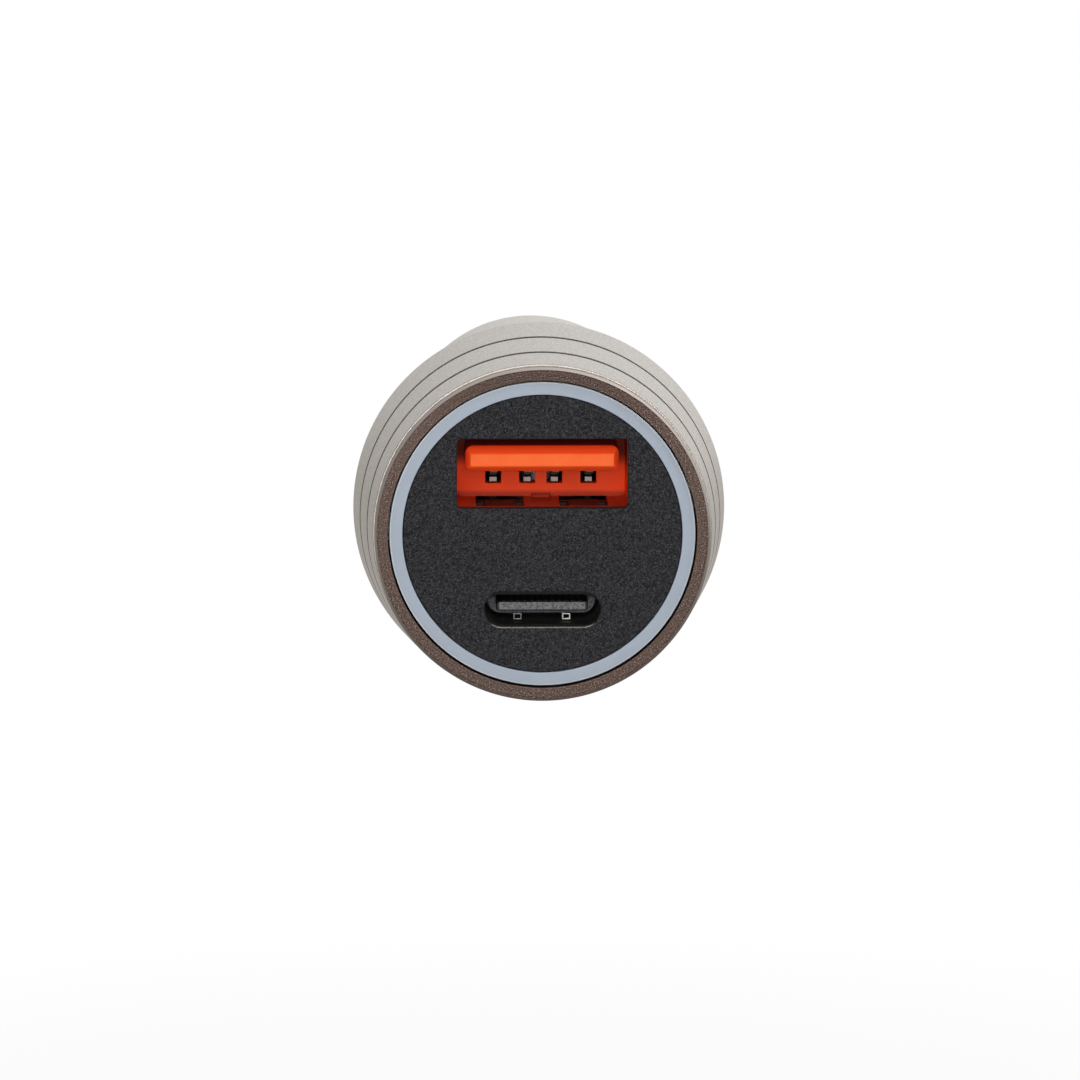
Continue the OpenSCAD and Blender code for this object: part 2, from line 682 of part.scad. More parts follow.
// The upper port's tongue, chamfered along its front on all four sides
module usb_a_tongue() {
    front_y = usb_a_front_y + tongue_recess;
    chamfer_y = front_y + tongue_chamfer;
    front_w = tongue_w - 2 * tongue_side_cut;
    intersection() {
        pulled(front_y, usb_a_floor_y) translate([0, (tongue_low + tongue_high) / 2])
            round_rect(tongue_w, tongue_t, tongue_corner);
        in_plug() translate([-tongue_w / 2, 0, 0]) rotate([90, 0, 90]) linear_extrude(tongue_w)
            polygon([[usb_a_floor_y, tongue_high], [chamfer_y, tongue_high],
                [front_y, tongue_high - tongue_top_cut], [front_y, tongue_low + tongue_low_cut],
                [chamfer_y, tongue_low], [usb_a_floor_y, tongue_low]]);
        in_plug() translate([0, 0, tongue_low - cut_over]) linear_extrude(tongue_t + 2 * cut_over)
            polygon([[-front_w / 2, front_y], [front_w / 2, front_y], [tongue_w / 2, chamfer_y],
                [tongue_w / 2, usb_a_floor_y + cut_over], [-tongue_w / 2, usb_a_floor_y + cut_over],
                [-tongue_w / 2, chamfer_y]]);
    }
}

module usb_a_housing() {
    slot_y = usb_a_front_y + floor_slot_y;
    foot_x = housing_w / 2 - housing_foot_inset;
    foot_step_y = shell_back_y + port_clearance;
    color(port_orange) {
        difference() {
            pulled(usb_a_front_y, usb_a_back_y) translate([0, usb_a_z])
                square([housing_w, housing_h], center = true);
            pulled(usb_a_front_y - cut_over, usb_a_floor_y) translate([0, usb_a_z])
                round_rect(usb_a_w, usb_a_h, usb_a_corner);
            for (i = [1:4])
                block([contact_x(i) - window_w / 2, contact_x(i) + window_w / 2],
                    [usb_a_floor_y - cut_over, usb_a_back_y + cut_over], [window_low, tongue_low]);
            for (side = [-1, 1])
                block([side * floor_slot_x - floor_slot_w / 2, side * floor_slot_x + floor_slot_w / 2],
                    [slot_y, usb_a_back_y + cut_over],
                    [usb_a_low - usb_a_wall - cut_over, usb_a_low]);
            block([-floor_notch_w / 2, floor_notch_w / 2],
                [usb_a_floor_y + usb_a_back_t / 2 - floor_notch_l, usb_a_floor_y + usb_a_back_t / 2],
                [usb_a_low - floor_notch_depth, usb_a_low + floor_notch_depth]);
        }
        usb_a_tongue();
        block([-foot_x, foot_x], [board_front_y + housing_foot_gap, foot_step_y],
            [board_high, usb_a_z - usb_a_shell_h / 2]);
        block([-foot_x, foot_x], [foot_step_y, usb_a_back_y], [board_high, usb_a_z - housing_h / 2]);
    }
}

module usb_a_shell() {
    leg_y = board_front_y + shell_leg_gap;
    leg_x = usb_a_shell_w / 2 - shell_t;
    floor_z = usb_a_z - housing_h / 2;
    spring_y = shell_front_y + shell_t;
    side_cut = (floor_slot_w - shell_spring_w) / 2;
    color(steel) {
        difference() {
            pulled(shell_front_y, shell_back_y) translate([0, usb_a_z])
                square([usb_a_shell_w, usb_a_shell_h], center = true);
            pulled(shell_front_y - cut_over, shell_back_y + cut_over) translate([0, usb_a_z])
                square([housing_w, housing_h], center = true);
            for (side = [-1, 1])
                for (edge = [-1, 1]) {
                    cut_x = side * floor_slot_x + edge * (shell_spring_w + side_cut) / 2;
                    block([cut_x - side_cut / 2, cut_x + side_cut / 2],
                        [spring_y, spring_y + shell_spring_l], [floor_z - cut_over, floor_z + cut_over]);
                }
        }
        for (side = [-1, 1])
            block([side * floor_slot_x - shell_spring_w / 2, side * floor_slot_x + shell_spring_w / 2],
                [spring_y, spring_y + shell_spring_l], [floor_z, floor_z + shell_spring_rise]);
        for (side = [-1, 1])
            block([side * (leg_x + shell_t / 2) - shell_t / 2, side * (leg_x + shell_t / 2) + shell_t / 2],
                [leg_y, leg_y + shell_leg_l], [board_high, floor_z]);
    }
}

// A contact strip: along the tongue, down inside the window to its foot, back and down to the board
module usb_a_contact(i) {
    strip_front_y = usb_a_front_y + contact_setback;
    upright_y = usb_a_floor_y + contact_inset;
    foot_y = usb_a_floor_y + contact_foot_inset;
    tail_y = usb_a_back_y + contact_tail_gap;
    knee = contact_knee;
    t = contact_strip_t;
    color(gold)
    in_plug() translate([contact_x(i) - contact_strip_w / 2, 0, 0]) rotate([90, 0, 90])
        linear_extrude(contact_strip_w)
        polygon([[strip_front_y, tongue_low], [upright_y + t, tongue_low], [upright_y + t, knee + t],
            [tail_y + t, knee + t], [tail_y + t, board_high], [tail_y, board_high], [tail_y, knee],
            [foot_y, knee], [foot_y, knee + contact_foot_h], [upright_y, knee + contact_foot_h],
            [upright_y, tongue_low - t], [strip_front_y, tongue_low - t]]);
}

module usb_c_shell() {
    tab_y = faceplate_back_y + usb_c_tab_y;
    color(steel) {
        pulled(faceplate_back_y, usb_c_back_y) translate([0, -usb_c_drop]) difference() {
            round_slot(usb_c_shell_w, usb_c_shell_h);
            round_slot(usb_c_w, usb_c_h);
        }
        for (side = [-1, 1])
            pulled(tab_y, tab_y + usb_c_tab_t)
                translate([side * usb_c_tab_x, usb_c_low + usb_c_tab / 2 - usb_c_block_gap])
                difference() {
                    square(usb_c_tab, center = true);
                    square(usb_c_tab_hole, center = true);
                }
    }
}

module usb_c_tongue() {
    color(chip_black) {
        pulled(usb_c_floor_y, usb_c_back_y) translate([0, -usb_c_drop])
            round_slot(usb_c_w - 2 * usb_c_block_gap, usb_c_h - 2 * usb_c_block_gap);
        pulled(usb_c_base_y, usb_c_floor_y) translate([0, -usb_c_drop])
            round_slot(usb_c_base_w, usb_c_base_t);
        pulled(faceplate_back_y + usb_c_tongue_recess, usb_c_base_y) translate([0, -usb_c_drop])
            round_rect(usb_c_tongue_w, usb_c_tongue_t, usb_c_tongue_corner);
    }
}

module usb_c_contacts() {
    strip_y = faceplate_back_y + usb_c_tongue_recess + usb_c_strip_setback;
    color(gold)
    for (i = [1:usb_c_contact_count]) {
        x = (i - (usb_c_contact_count + 1) / 2) * usb_c_pitch;
        for (side = [-1, 1]) {
            z = -usb_c_drop + side * (usb_c_tongue_t + usb_c_strip_t) / 2;
            block([x - usb_c_strip_w / 2, x + usb_c_strip_w / 2], [strip_y, usb_c_base_y],
                [z - usb_c_strip_t / 2, z + usb_c_strip_t / 2]);
        }
        block([x - usb_c_strip_w / 2, x + usb_c_strip_w / 2],
            [usb_c_back_y, usb_c_back_y + usb_c_tail_l], [board_low - usb_c_tail_t, board_low]);
    }
}

module led_board() {
    color(board_green)
    difference() {
        turned() translate([0, led_front_y]) square([bezel_in_r - led_board_gap, led_board_t]);
        usb_a_room();
        pulled(led_front_y - cut_over, led_seat_y + cut_over) translate([0, -usb_c_drop])
            round_slot(usb_c_shell_w + 2 * port_clearance, usb_c_shell_h + 2 * port_clearance);
    }
}

module led(i) {
    color("ivory")
    led_place(i) translate([-led_l / 2, -led_w / 2, 0]) cube([led_l, led_w, led_h]);
}

module main_board() {
    color(board_green)
    block([-board_half_w, board_half_w], [board_front_y, board_end_y], [board_low, board_high]);
}

module board_carrier() {
    window_l = side_contact_l + 2 * window_end_gap;
    window_x = [lip_x - bow_t - side_contact_travel - window_side_gap, carrier_r + cut_over];
    color(chip_black)
    difference() {
        union() {
            turned() polygon([[carrier_in_r, head_floor_y - carrier_flange_t],
                [head_bore_r - insert_gap, head_floor_y - carrier_flange_t],
                [head_bore_r - insert_gap, head_floor_y], [carrier_r, head_floor_y],
                [carrier_r, nose_back_y], [carrier_in_r, nose_back_y]]);
            intersection() {
                pulled(head_floor_y - carrier_flange_t, nose_back_y) circle(carrier_in_r + rail_root);
                for (side = [-1, 1]) {
                    rail_x = side * (board_half_w - rail_overlap + carrier_wall);
                    for (z = [board_low - rail_h, board_high])
                        block([rail_x - carrier_wall, rail_x + carrier_wall],
                            [head_floor_y - carrier_flange_t, nose_back_y], [z, z + rail_h]);
                }
            }
        }
        for (side = [-1, 1])
            block([min(side * window_x[0], side * window_x[1]), max(side * window_x[0], side * window_x[1])],
                [side_contact_y - window_l / 2, side_contact_y + window_l / 2],
                [-slot_w / 2 - window_side_gap, slot_w / 2 + window_side_gap]);
    }
}

// A ferrite drum: two flanges on a post, standing on the board
module inductor_core() {
    color(ferrite)
    in_plug() translate([inductor_at[0], inductor_at[1], board_high]) rotate_extrude()
        polygon([[0, 0], [inductor_r, 0], [inductor_r, inductor_flange_t],
            [inductor_post_r, inductor_flange_t], [inductor_post_r, inductor_h - inductor_flange_t],
            [inductor_r, inductor_h - inductor_flange_t], [inductor_r, inductor_h], [0, inductor_h]]);
}

module inductor_winding() {
    color(copper)
    in_plug() translate([inductor_at[0], inductor_at[1], board_high]) rotate_extrude()
        translate([inductor_post_r + insert_gap, inductor_flange_t])
        square([inductor_r - inductor_post_r - insert_gap - winding_inset,
            inductor_h - 2 * inductor_flange_t]);
}

// A capacitor can standing on the board, with a crimp groove near its foot
module can(at, r, h) {
    in_plug() translate([at[0], at[1], board_high]) rotate_extrude() difference() {
        union() {
            square([r, h - can_round]);
            square([r - can_round, h]);
            translate([r - can_round, h - can_round]) circle(can_round);
        }
        translate([-can_round - cut_over, h - 2 * can_round - cut_over])
            square([can_round + cut_over, 2 * (can_round + cut_over)]);
        translate([r, can_groove_z]) circle(can_groove_r);
    }
}

module input_capacitor() {
    color("lightsteelblue") can(input_can_at, input_can_r, input_can_h);
}

module output_capacitor() {
    color("lightsteelblue") can(output_can_at, output_can_r, output_can_h);
}

// A chip's moulded body with a row of legs along each side
module converter_chip() {
    color(chip_black) {
        in_plug() translate([converter_at[0], converter_at[1], board_high + leg_t / 2])
            linear_extrude(converter_h) square([converter_w, converter_l], center = true);
        for (i = [-1.5:1:1.5])
            on_board([converter_at[0], converter_at[1] + leg_pitch * i], converter_span, leg_w, leg_t);
    }
}

module protocol_chip() {
    color(chip_black) under_board(protocol_at, protocol_w, protocol_w, protocol_h);
}

module rectifier_diode() {
    color(chip_black) {
        on_board(diode_at, diode_w, diode_l, diode_h);
        on_board(diode_at, diode_tab_w, diode_span, diode_tab_t);
    }
}

module fuse() {
    color("white") {
        under_board(fuse_at, fuse_w, fuse_body_l, fuse_h);
        under_board(fuse_at, fuse_w - 2 * fuse_cap_inset, fuse_l, fuse_h - 2 * fuse_cap_inset);
    }
}

module ceramic_capacitors() {
    color("tan")
    for (at = ceramic_at)
        on_board(at, small_part_l, small_part_w, ceramic_h);
}

module resistors() {
    color(chip_black)
    for (at = resistor_at)
        under_board(at, small_part_l, small_part_w, resistor_h);
}

// A side contact: a bowed strip with a flat lip at each end, standing out to one side
module ground_contact(side) {
    color(steel)
    in_plug() translate([0, side_contact_y, -side_contact_w / 2]) mirror([side < 0 ? 1 : 0, 0, 0])
        linear_extrude(side_contact_w) {
            difference() {
                translate([bow_x - bow_r, 0]) circle(bow_r, $fn = 180);
                translate([bow_x - bow_r, 0]) circle(bow_r - bow_t, $fn = 180);
                translate([lip_x - bow_t - 3 * bow_r, -2 * bow_r]) square([3 * bow_r, 4 * bow_r]);
            }
            for (end = [-1, 1])
                translate([lip_x - bow_t, end * (bow_len / 2 + (lip_len - bow_t) / 2) - (lip_len + bow_t) / 2])
                    square([bow_t, lip_len + bow_t]);
        }
}

module contact_spring(side) {
    color(steel)
    in_plug() translate([side * clip_x, side_contact_y, 0]) rotate([0, side * 90, 0])
        coil(side_spring_r, side_spring_wire, side_spring_end - clip_x, side_spring_turns);
}

// A bracket on the board, whose upright plate carries a side spring
module ground_clip(side) {
    foot_x = side * (clip_x - clip_t - clip_foot / 2);
    color(gold) {
        block([side * (clip_x - clip_t / 2) - clip_t / 2, side * (clip_x - clip_t / 2) + clip_t / 2],
            [clip_front_y, clip_back_y], [board_high, clip_rise]);
        block([foot_x - clip_foot / 2, foot_x + clip_foot / 2],
            [clip_front_y, clip_back_y], [board_high, board_high + clip_t]);
    }
}

module nose_insulator() {
    color(chip_black)
    turned() difference() {
        union() {
            polygon([[0, nose_back_y], [carrier_r, nose_back_y], [carrier_r, barrel_end_y],
                [nose_collar_r, barrel_end_y], [nose_collar_r, nose_collar_y - nose_collar_chamfer],
                [nose_collar_r - nose_collar_chamfer, nose_collar_y], [nose_base_r, nose_collar_y],
                [nose_tip_r, nose_end_y - nose_round], [nose_tip_r - nose_round, nose_end_y],
                [0, nose_end_y]]);
            translate([nose_tip_r - nose_round, nose_end_y - nose_round]) circle(nose_round);
        }
        translate([-cut_over, nose_back_y - cut_over])
            square([cut_over + tip_chamber_r, lip_back_y - nose_back_y + cut_over]);
        translate([-cut_over, nose_back_y])
            square([cut_over + tip_bore_r, nose_end_y - nose_back_y + cut_over]);
    }
}

module centre_contact() {
    tip_y = nose_end_y + tip_out;
    color(steel)
    turned() union() {
        polygon([[0, flange_back_y - pilot_len], [pilot_r, flange_back_y - pilot_len],
            [pilot_r, flange_back_y], [tip_flange_r, flange_back_y], [tip_flange_r, lip_back_y],
            [tip_r, lip_back_y], [tip_r, tip_y - tip_round], [tip_r - tip_round, tip_y], [0, tip_y]]);
        intersection() {
            translate([tip_r - tip_round, tip_y - tip_round]) circle(tip_round);
            translate([0, tip_y - 2 * tip_round]) square([tip_r + cut_over, 2 * tip_round + cut_over]);
        }
    }
}

module centre_spring() {
    color(steel)
    in_plug() translate([0, nose_back_y, 0]) rotate([-90, 0, 0])
        coil(tip_spring_r, tip_spring_wire, flange_back_y - nose_back_y, tip_spring_turns);
}

module centre_terminal() {
    color(gold)
    turned() translate([0, terminal_y]) square([terminal_r, terminal_t]);
}

body_shell();
bezel_ring();
light_ring();
faceplate();
usb_a_housing();
usb_a_shell();
usb_a_contact(1);  // usb_a_contact_1
usb_a_contact(2);  // usb_a_contact_2
usb_a_contact(3);  // usb_a_contact_3
usb_a_contact(4);  // usb_a_contact_4
usb_c_shell();
usb_c_tongue();
usb_c_contacts();
led_board();
led(1);  // led_1
led(2);  // led_2
led(3);  // led_3
led(4);  // led_4
led(5);  // led_5
led(6);  // led_6
main_board();
board_carrier();
inductor_core();
inductor_winding();
input_capacitor();
output_capacitor();
converter_chip();
protocol_chip();
rectifier_diode();
fuse();
ceramic_capacitors();
resistors();
ground_contact(-1);  // left_ground_contact
ground_contact(1);  // right_ground_contact
contact_spring(-1);  // left_contact_spring
contact_spring(1);  // right_contact_spring
ground_clip(-1);  // left_ground_clip
ground_clip(1);  // right_ground_clip
nose_insulator();
centre_contact();
centre_spring();
centre_terminal();
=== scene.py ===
import json
import math

import bmesh
import bpy
from mathutils import Matrix, Vector


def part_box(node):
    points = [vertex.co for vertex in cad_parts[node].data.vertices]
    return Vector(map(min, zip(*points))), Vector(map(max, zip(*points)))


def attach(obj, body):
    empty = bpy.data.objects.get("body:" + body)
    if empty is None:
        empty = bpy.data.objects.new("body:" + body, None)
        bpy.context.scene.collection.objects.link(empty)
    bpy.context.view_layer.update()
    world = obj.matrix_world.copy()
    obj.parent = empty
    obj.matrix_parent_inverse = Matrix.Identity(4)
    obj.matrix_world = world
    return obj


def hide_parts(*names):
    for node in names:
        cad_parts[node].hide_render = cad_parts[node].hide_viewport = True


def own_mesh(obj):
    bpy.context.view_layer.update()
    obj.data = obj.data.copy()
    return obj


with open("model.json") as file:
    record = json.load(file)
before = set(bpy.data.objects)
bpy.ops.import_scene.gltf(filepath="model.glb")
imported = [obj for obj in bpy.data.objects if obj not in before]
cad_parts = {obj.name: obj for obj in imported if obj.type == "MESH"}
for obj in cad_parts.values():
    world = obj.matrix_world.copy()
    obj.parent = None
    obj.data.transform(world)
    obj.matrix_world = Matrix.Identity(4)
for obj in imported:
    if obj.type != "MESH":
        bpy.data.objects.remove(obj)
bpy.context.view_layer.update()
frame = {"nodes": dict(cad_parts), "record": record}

nodes = frame["nodes"]

# Sizes are written in millimetres, as in the part's source. A depth is counted along the plug's
# axis from the front of the trim ring, and the origin lies 23 mm behind it.
MM = 0.001
PER_METRE = 1000
ORIGIN_DEPTH = 23.0
FULL_TURN = 2 * math.pi

# The body starts behind the trim ring. Its head widens from front to back, has two grooves and ends
# at the shoulder
BODY_FRONT = 1.12
BODY_END = 55.8
HEAD_FRONT_R = 12.2
HEAD_FLARE = 1.66
HEAD_FLARE_LENGTH = 16.0
SHOULDER = 17.0
GROOVES = (HEAD_FLARE_LENGTH / 3, HEAD_FLARE_LENGTH * 2 / 3)
GROOVE_HALF = 0.25
GROOVE_CUT = 0.3

# The trim ring, the light ring and the face
TRIM_R = 12.2
TRIM_CHAMFER = 0.18
GUIDE_R = 11.1
FACE_R = 10.12
FACE_FRONT = 0.5
FACE_BACK = 1.5

# The ports' openings (width, height, corner radius) and the heights of their middles
UPPER_WINDOW = (12.4, 5.05, 0.3)
UPPER_PORT_Z = 4.4
LOWER_WINDOW = (8.44, 2.6, 1.3)
LOWER_SHELL = (8.34, 2.5, 1.25)
LOWER_PORT_Z = -5.52
TONGUE_BACK = 5.0

# The middle of the side contacts, and the back of the nose, where the tip's spring stands
SIDE_CONTACT = 40.5
NOSE_BACK = 52.4


class Value:
    """An output socket that sums can be written with."""

    def __init__(self, tree, socket):
        self.tree = tree
        self.socket = socket

    def __add__(self, other):
        return self.tree.maths("ADD", self, other)

    def __radd__(self, other):
        return self.tree.maths("ADD", other, self)

    def __sub__(self, other):
        return self.tree.maths("SUBTRACT", self, other)

    def __rsub__(self, other):
        return self.tree.maths("SUBTRACT", other, self)

    def __mul__(self, other):
        return self.tree.maths("MULTIPLY", self, other)

    def __rmul__(self, other):
        return self.tree.maths("MULTIPLY", other, self)

    def __truediv__(self, other):
        return self.tree.maths("DIVIDE", self, other)

    def size(self):
        return self.tree.maths("ABSOLUTE", self)

    def root(self):
        return self.tree.maths("SQRT", self)

    def wave(self):
        return self.tree.maths("SINE", self)

    def most(self, other):
        return self.tree.maths("MAXIMUM", self, other)

    def over(self, low, high):
        """0 below low, 1 above high and a straight rise between them."""
        sockets = {"Value": self, "From Min": low, "From Max": high}
        return self.tree.node("ShaderNodeMapRange", {"clamp": True}, sockets)


class Tree:
    """The nodes of a material or of the sky, with one method that adds any node."""

    def __init__(self, owner):
        owner.use_nodes = True
        self.nodes = owner.node_tree.nodes
        self.links = owner.node_tree.links
        self.nodes.clear()

    def node(self, kind, settings, sockets, output=0):
        """Adds a node, sets its settings first and then its sockets, and gives one output."""
        node = self.nodes.new(kind)
        for key, value in settings.items():
            setattr(node, key, value)
        self.join(node, sockets)
        return None if output is None else Value(self, node.outputs[output])

    def join(self, node, sockets):
        """Links or sets sockets by their names."""
        for key, value in sockets.items():
            if isinstance(value, Value):
                self.links.new(value.socket, node.inputs[key])
            elif isinstance(value, tuple) and node.inputs[key].type == "RGBA":
                node.inputs[key].default_value = (*value, 1)
            else:
                node.inputs[key].default_value = value

    def maths(self, operation, *values):
        return self.node("ShaderNodeMath", {"operation": operation}, dict(enumerate(values)))


class Paint(Tree):
    """A material on the object's own coordinates."""

    def __init__(self, name, **shader):
        self.material = bpy.data.materials.new(name)
        super().__init__(self.material)
        self.place = self.node("ShaderNodeTexCoord", {}, {}, "Object")
        self.shader = self.node("ShaderNodeBsdfPrincipled", {}, self.named(shader), "BSDF")

    def named(self, sockets):
        """The shader's own names, which have spaces."""
        return {key.replace("_", " "): value for key, value in sockets.items()}

    def finish(self, **sockets):
        """Joins what changes over the surface to the shader, and gives the material."""
        self.join(self.shader.socket.node, self.named(sockets))
        self.node("ShaderNodeOutputMaterial", {}, {"Surface": self.shader}, None)
        return self.material

    def noise(self, size, detail=2.0, place=None):
        """Soft noise around 0.5 whose patches are about size millimetres wide."""
        sockets = {"Vector": place or self.place, "Scale": 1 / (size * MM), "Detail": detail,
                   "Roughness": 0.55}
        return self.node("ShaderNodeTexNoise", {}, sockets)

    def cell_edges(self, size):
        """The distance to the edges of random cells about size millimetres wide."""
        sockets = {"Vector": self.place, "Scale": 1 / (size * MM)}
        settings = {"feature": "DISTANCE_TO_EDGE"}
        return self.node("ShaderNodeTexVoronoi", settings, sockets, "Distance")

    def stretched(self, x, y, z):
        """The place on the object, drawn out along one or two axes."""
        return self.node("ShaderNodeMapping", {}, {"Vector": self.place, "Scale": (x, y, z)})

    def axis(self, name):
        """The place along one axis, in millimetres."""
        return self.node("ShaderNodeSeparateXYZ", {}, {"Vector": self.place}, name) * PER_METRE

    def depth(self):
        """The depth along the plug, in millimetres behind the front of the trim ring."""
        return self.axis("Y") + ORIGIN_DEPTH

    def radius(self):
        """The distance from the plug's axis, in millimetres."""
        across = self.stretched(PER_METRE, 0, PER_METRE)
        return self.node("ShaderNodeVectorMath", {"operation": "LENGTH"}, {0: across}, "Value")

    def rings(self, size):
        """Soft noise in rings round the plug's axis."""
        sockets = {"W": self.radius() / size, "Scale": 1.0, "Detail": 2.0}
        return self.node("ShaderNodeTexNoise", {"noise_dimensions": "1D"}, sockets)

    def scaled(self, colour, factor):
        """A colour made lighter or darker."""
        return self.node("ShaderNodeVectorMath", {"operation": "SCALE"}, {0: colour, "Scale": factor})

    def mix(self, factor, low, high):
        """A colour between two others."""
        return self.node("ShaderNodeMix", {"data_type": "RGBA"}, {0: factor, 6: low, 7: high}, 2)

    def bump(self, height, rise):
        """Relief whose full height is rise micrometres."""
        sockets = {"Height": height, "Distance": rise * 1e-6, "Strength": 1.0}
        return self.node("ShaderNodeBump", {}, sockets)


def shade(colour, factor):
    """A written colour made lighter or darker."""
    return tuple(min(1.0, part * factor) for part in colour)


def blasted_shell():
    """Bead-blasted and dyed aluminium: an even grain and slow drifts of tone, lighter on the barrel,
    and a painted tint of reflected light that makes the top cooler. Seams are bands of painted shade
    round the grooves and the front lip (middle depth, half width, share of the colour left)."""
    warm, cool, contrast = (0.665, 0.62, 0.565), (0.665, 0.64, 0.61), 0.22
    shade_seams = [(groove, GROOVE_HALF + 0.03, 0.09) for groove in GROOVES] + [(BODY_FRONT, 0.06, 0.55)]
    paint = Paint("blasted_shell", Metallic=1.0, Specular_Tint=(0.87, 0.85, 0.82))
    fine = paint.noise(0.12, 3.0)
    coarse = paint.noise(0.264, 2.0)
    drift = paint.noise(9.0, 1.0)
    grit = fine * 0.8 + coarse * 0.2
    tone = grit.over(0.36, 0.64)
    # Painted reflection: the top is tinted cooler, as it would be by the pale sky above it
    base = paint.mix(paint.axis("Z").over(-2, 10), warm, cool)
    barrel = paint.depth().over(SHOULDER - 0.2, SHOULDER + 0.2)
    base = paint.scaled(base, 1 - contrast + tone * 2 * contrast - drift * 0.02 + barrel * 0.12)
    # Painted shade in the grooves and on the body's front lip
    for middle, half, left in shade_seams:
        seam_shade = 1 - (paint.depth() - middle).size().over(half * 0.93, half)
        base = paint.mix(seam_shade, base, shade(warm, left))
    rough = 0.38 + tone * 0.08 + drift * 0.04
    return paint.finish(Base_Color=base, Roughness=rough, Normal=paint.bump(grit, 16.0))


def turned_trim():
    """Dyed aluminium with fine turning marks round the ring and painted shade towards its top, and a
    bare outer edge with a painted highlight at the top and painted shade at the bottom."""
    paint = Paint("brown_trim", Metallic=1.0, Specular_Tint=(0.45, 0.40, 0.37))
    fine = paint.noise(0.10, 3.0)
    marks = paint.rings(0.09)
    tone = (fine * 0.8 + marks * 0.2).over(0.38, 0.62)
    base = paint.mix(tone, (0.018, 0.011, 0.009), (0.090, 0.063, 0.052))
    base = paint.mix(fine.over(0.58, 0.68), base, (0.20, 0.16, 0.145))
    # Painted shade: the ring is darker towards its top
    base = paint.scaled(base, 1.06 - paint.axis("Z").over(7.5, 11.5) * 0.28)
    edge_r = TRIM_R - TRIM_CHAMFER
    bare = paint.radius().over(edge_r - 0.01, edge_r + 0.02)
    # The bare edge gets a painted highlight at the top and painted shade at the bottom
    edge = paint.mix(paint.axis("Z").over(-10, 8), (0.18, 0.15, 0.135), (0.56, 0.50, 0.46))
    base = paint.mix(bare, base, edge)
    rough = 0.36 + tone * 0.1 - bare * 0.04
    return paint.finish(Base_Color=base, Roughness=rough, Normal=paint.bump(fine + marks, 8.0))


def spark_grain(name, colour, fleck, size, rise, roughness, level=0.5, contrast=0.4, extra=None):
    """Moulded plastic from a spark-eroded mould: mottled pits with lighter flecks on their rims.
    A last step of its own may change the colour."""
    paint = Paint(name, Specular_IOR_Level=level)
    coarse = paint.noise(size, 3.0)
    fine = paint.noise(size * 0.4, 2.0)
    grain = coarse * 0.6 + fine * 0.4
    base = paint.mix(grain.over(0.40, 0.58), shade(colour, 1 - contrast), shade(colour, 1 + contrast))
    base = paint.mix(fine.over(0.60, 0.70), base, fleck)
    if extra:
        base = extra(paint, base, grain)
    rough = roughness - 0.06 + grain * 0.12
    return paint.finish(Base_Color=base, Roughness=rough, Normal=paint.bump(grain, rise))


def painted_rim_highlight(paint, base, grain):
    """A painted highlight along the lower edge of the lower window."""
    width, _, corner = LOWER_WINDOW
    across = (paint.axis("X").size() - (width / 2 - corner)).most(0)
    height = paint.axis("Z") - LOWER_PORT_Z
    rim = ((across * across + height * height).root() - (corner + 0.03)).size()
    low = (height * -1).over(1.05, 1.2)
    front = 1 - paint.depth().over(FACE_FRONT + 0.1, FACE_FRONT + 0.2)
    rim_highlight_mask = (1 - rim.over(0.03, 0.05)) * low * grain.over(0.30, 0.50)
    return paint.mix(rim_highlight_mask * front, base, (0.30, 0.28, 0.25))


def shaded_top(paint, base, grain):
    """Painted shade on the lower tongue's top and the space above it, where hardly any light falls,
    and a band of painted shade round the tongue's front, whose lower edge is worn."""
    black, band_shade, pale = (0.006, 0.006, 0.006), (0.012, 0.012, 0.013), (0.09, 0.09, 0.095)
    height = paint.axis("Z") - LOWER_PORT_Z
    across = paint.axis("X").size()
    wall = paint.depth().over(TONGUE_BACK, TONGUE_BACK + 0.2)
    front = 1 - wall
    ends = across.over(3.10, 3.18) * (1 - across.over(3.42, 3.46))
    # Painted shade on the tongue front's lower edge and its ends
    band = (height * -1).over(0.20, 0.25).most(ends) * front
    base = paint.mix(band, base, band_shade)
    worn = (1 - (height + 0.33).size().over(0.02, 0.05)) * grain.over(0.40, 0.60) * front
    base = paint.mix(worn, base, pale)
    # Painted shade on the tongue's top, and a painted shadow of the upper lip behind it
    tongue = height.over(0.30, 0.33) * (1 - across.over(3.3, 3.4))
    behind = height.over(0.12, 0.30) * wall
    return paint.mix(tongue.most(behind), base, black)


def rolled_steel(name, colour, roughness, along=(1.0, 0.05, 1.0), metallic=1.0, left_shade=1.0):
    """Sheet metal with faint rolling lines along one axis. Below 1, the last argument is the share of
    the colour that is left on the object's left side, as painted shade."""
    paint = Paint(name, Metallic=metallic)
    lines = paint.noise(0.12, 3.0, paint.stretched(*along))
    stain = paint.noise(1.6, 3.0)
    base = paint.mix(stain.over(0.3, 0.7), shade(colour, 0.86), shade(colour, 1.06))
    if left_shade < 1:
        # Painted shade: the object's left side is darker
        base = paint.scaled(base, left_shade + paint.axis("X").over(-0.1, 0.1) * (1 - left_shade))
    rough = roughness - 0.05 + lines * 0.12 + stain * 0.06
    return paint.finish(Base_Color=base, Roughness=rough, Normal=paint.bump(lines, 1.2))


def milky_guide():
    """Milky light guide, satin on its face, with a painted highlight along its outer edge and faint
    flow marks.
    """
    paint = Paint("milky_guide", IOR=1.5)
    flow = paint.noise(2.2, 3.0)
    fine = paint.noise(0.14, 2.0)
    base = paint.mix(flow.over(0.3, 0.7), (0.305, 0.357, 0.425), (0.335, 0.388, 0.458))
    # Painted highlight along the outer edge
    rim = paint.radius().over(GUIDE_R - 0.14, GUIDE_R - 0.06)
    base = paint.mix(rim, base, (0.50, 0.55, 0.60))
    rough = 0.36 + flow * 0.08 + fine * 0.06
    return paint.finish(Base_Color=base, Roughness=rough, Normal=paint.bump(fine, 2.5))


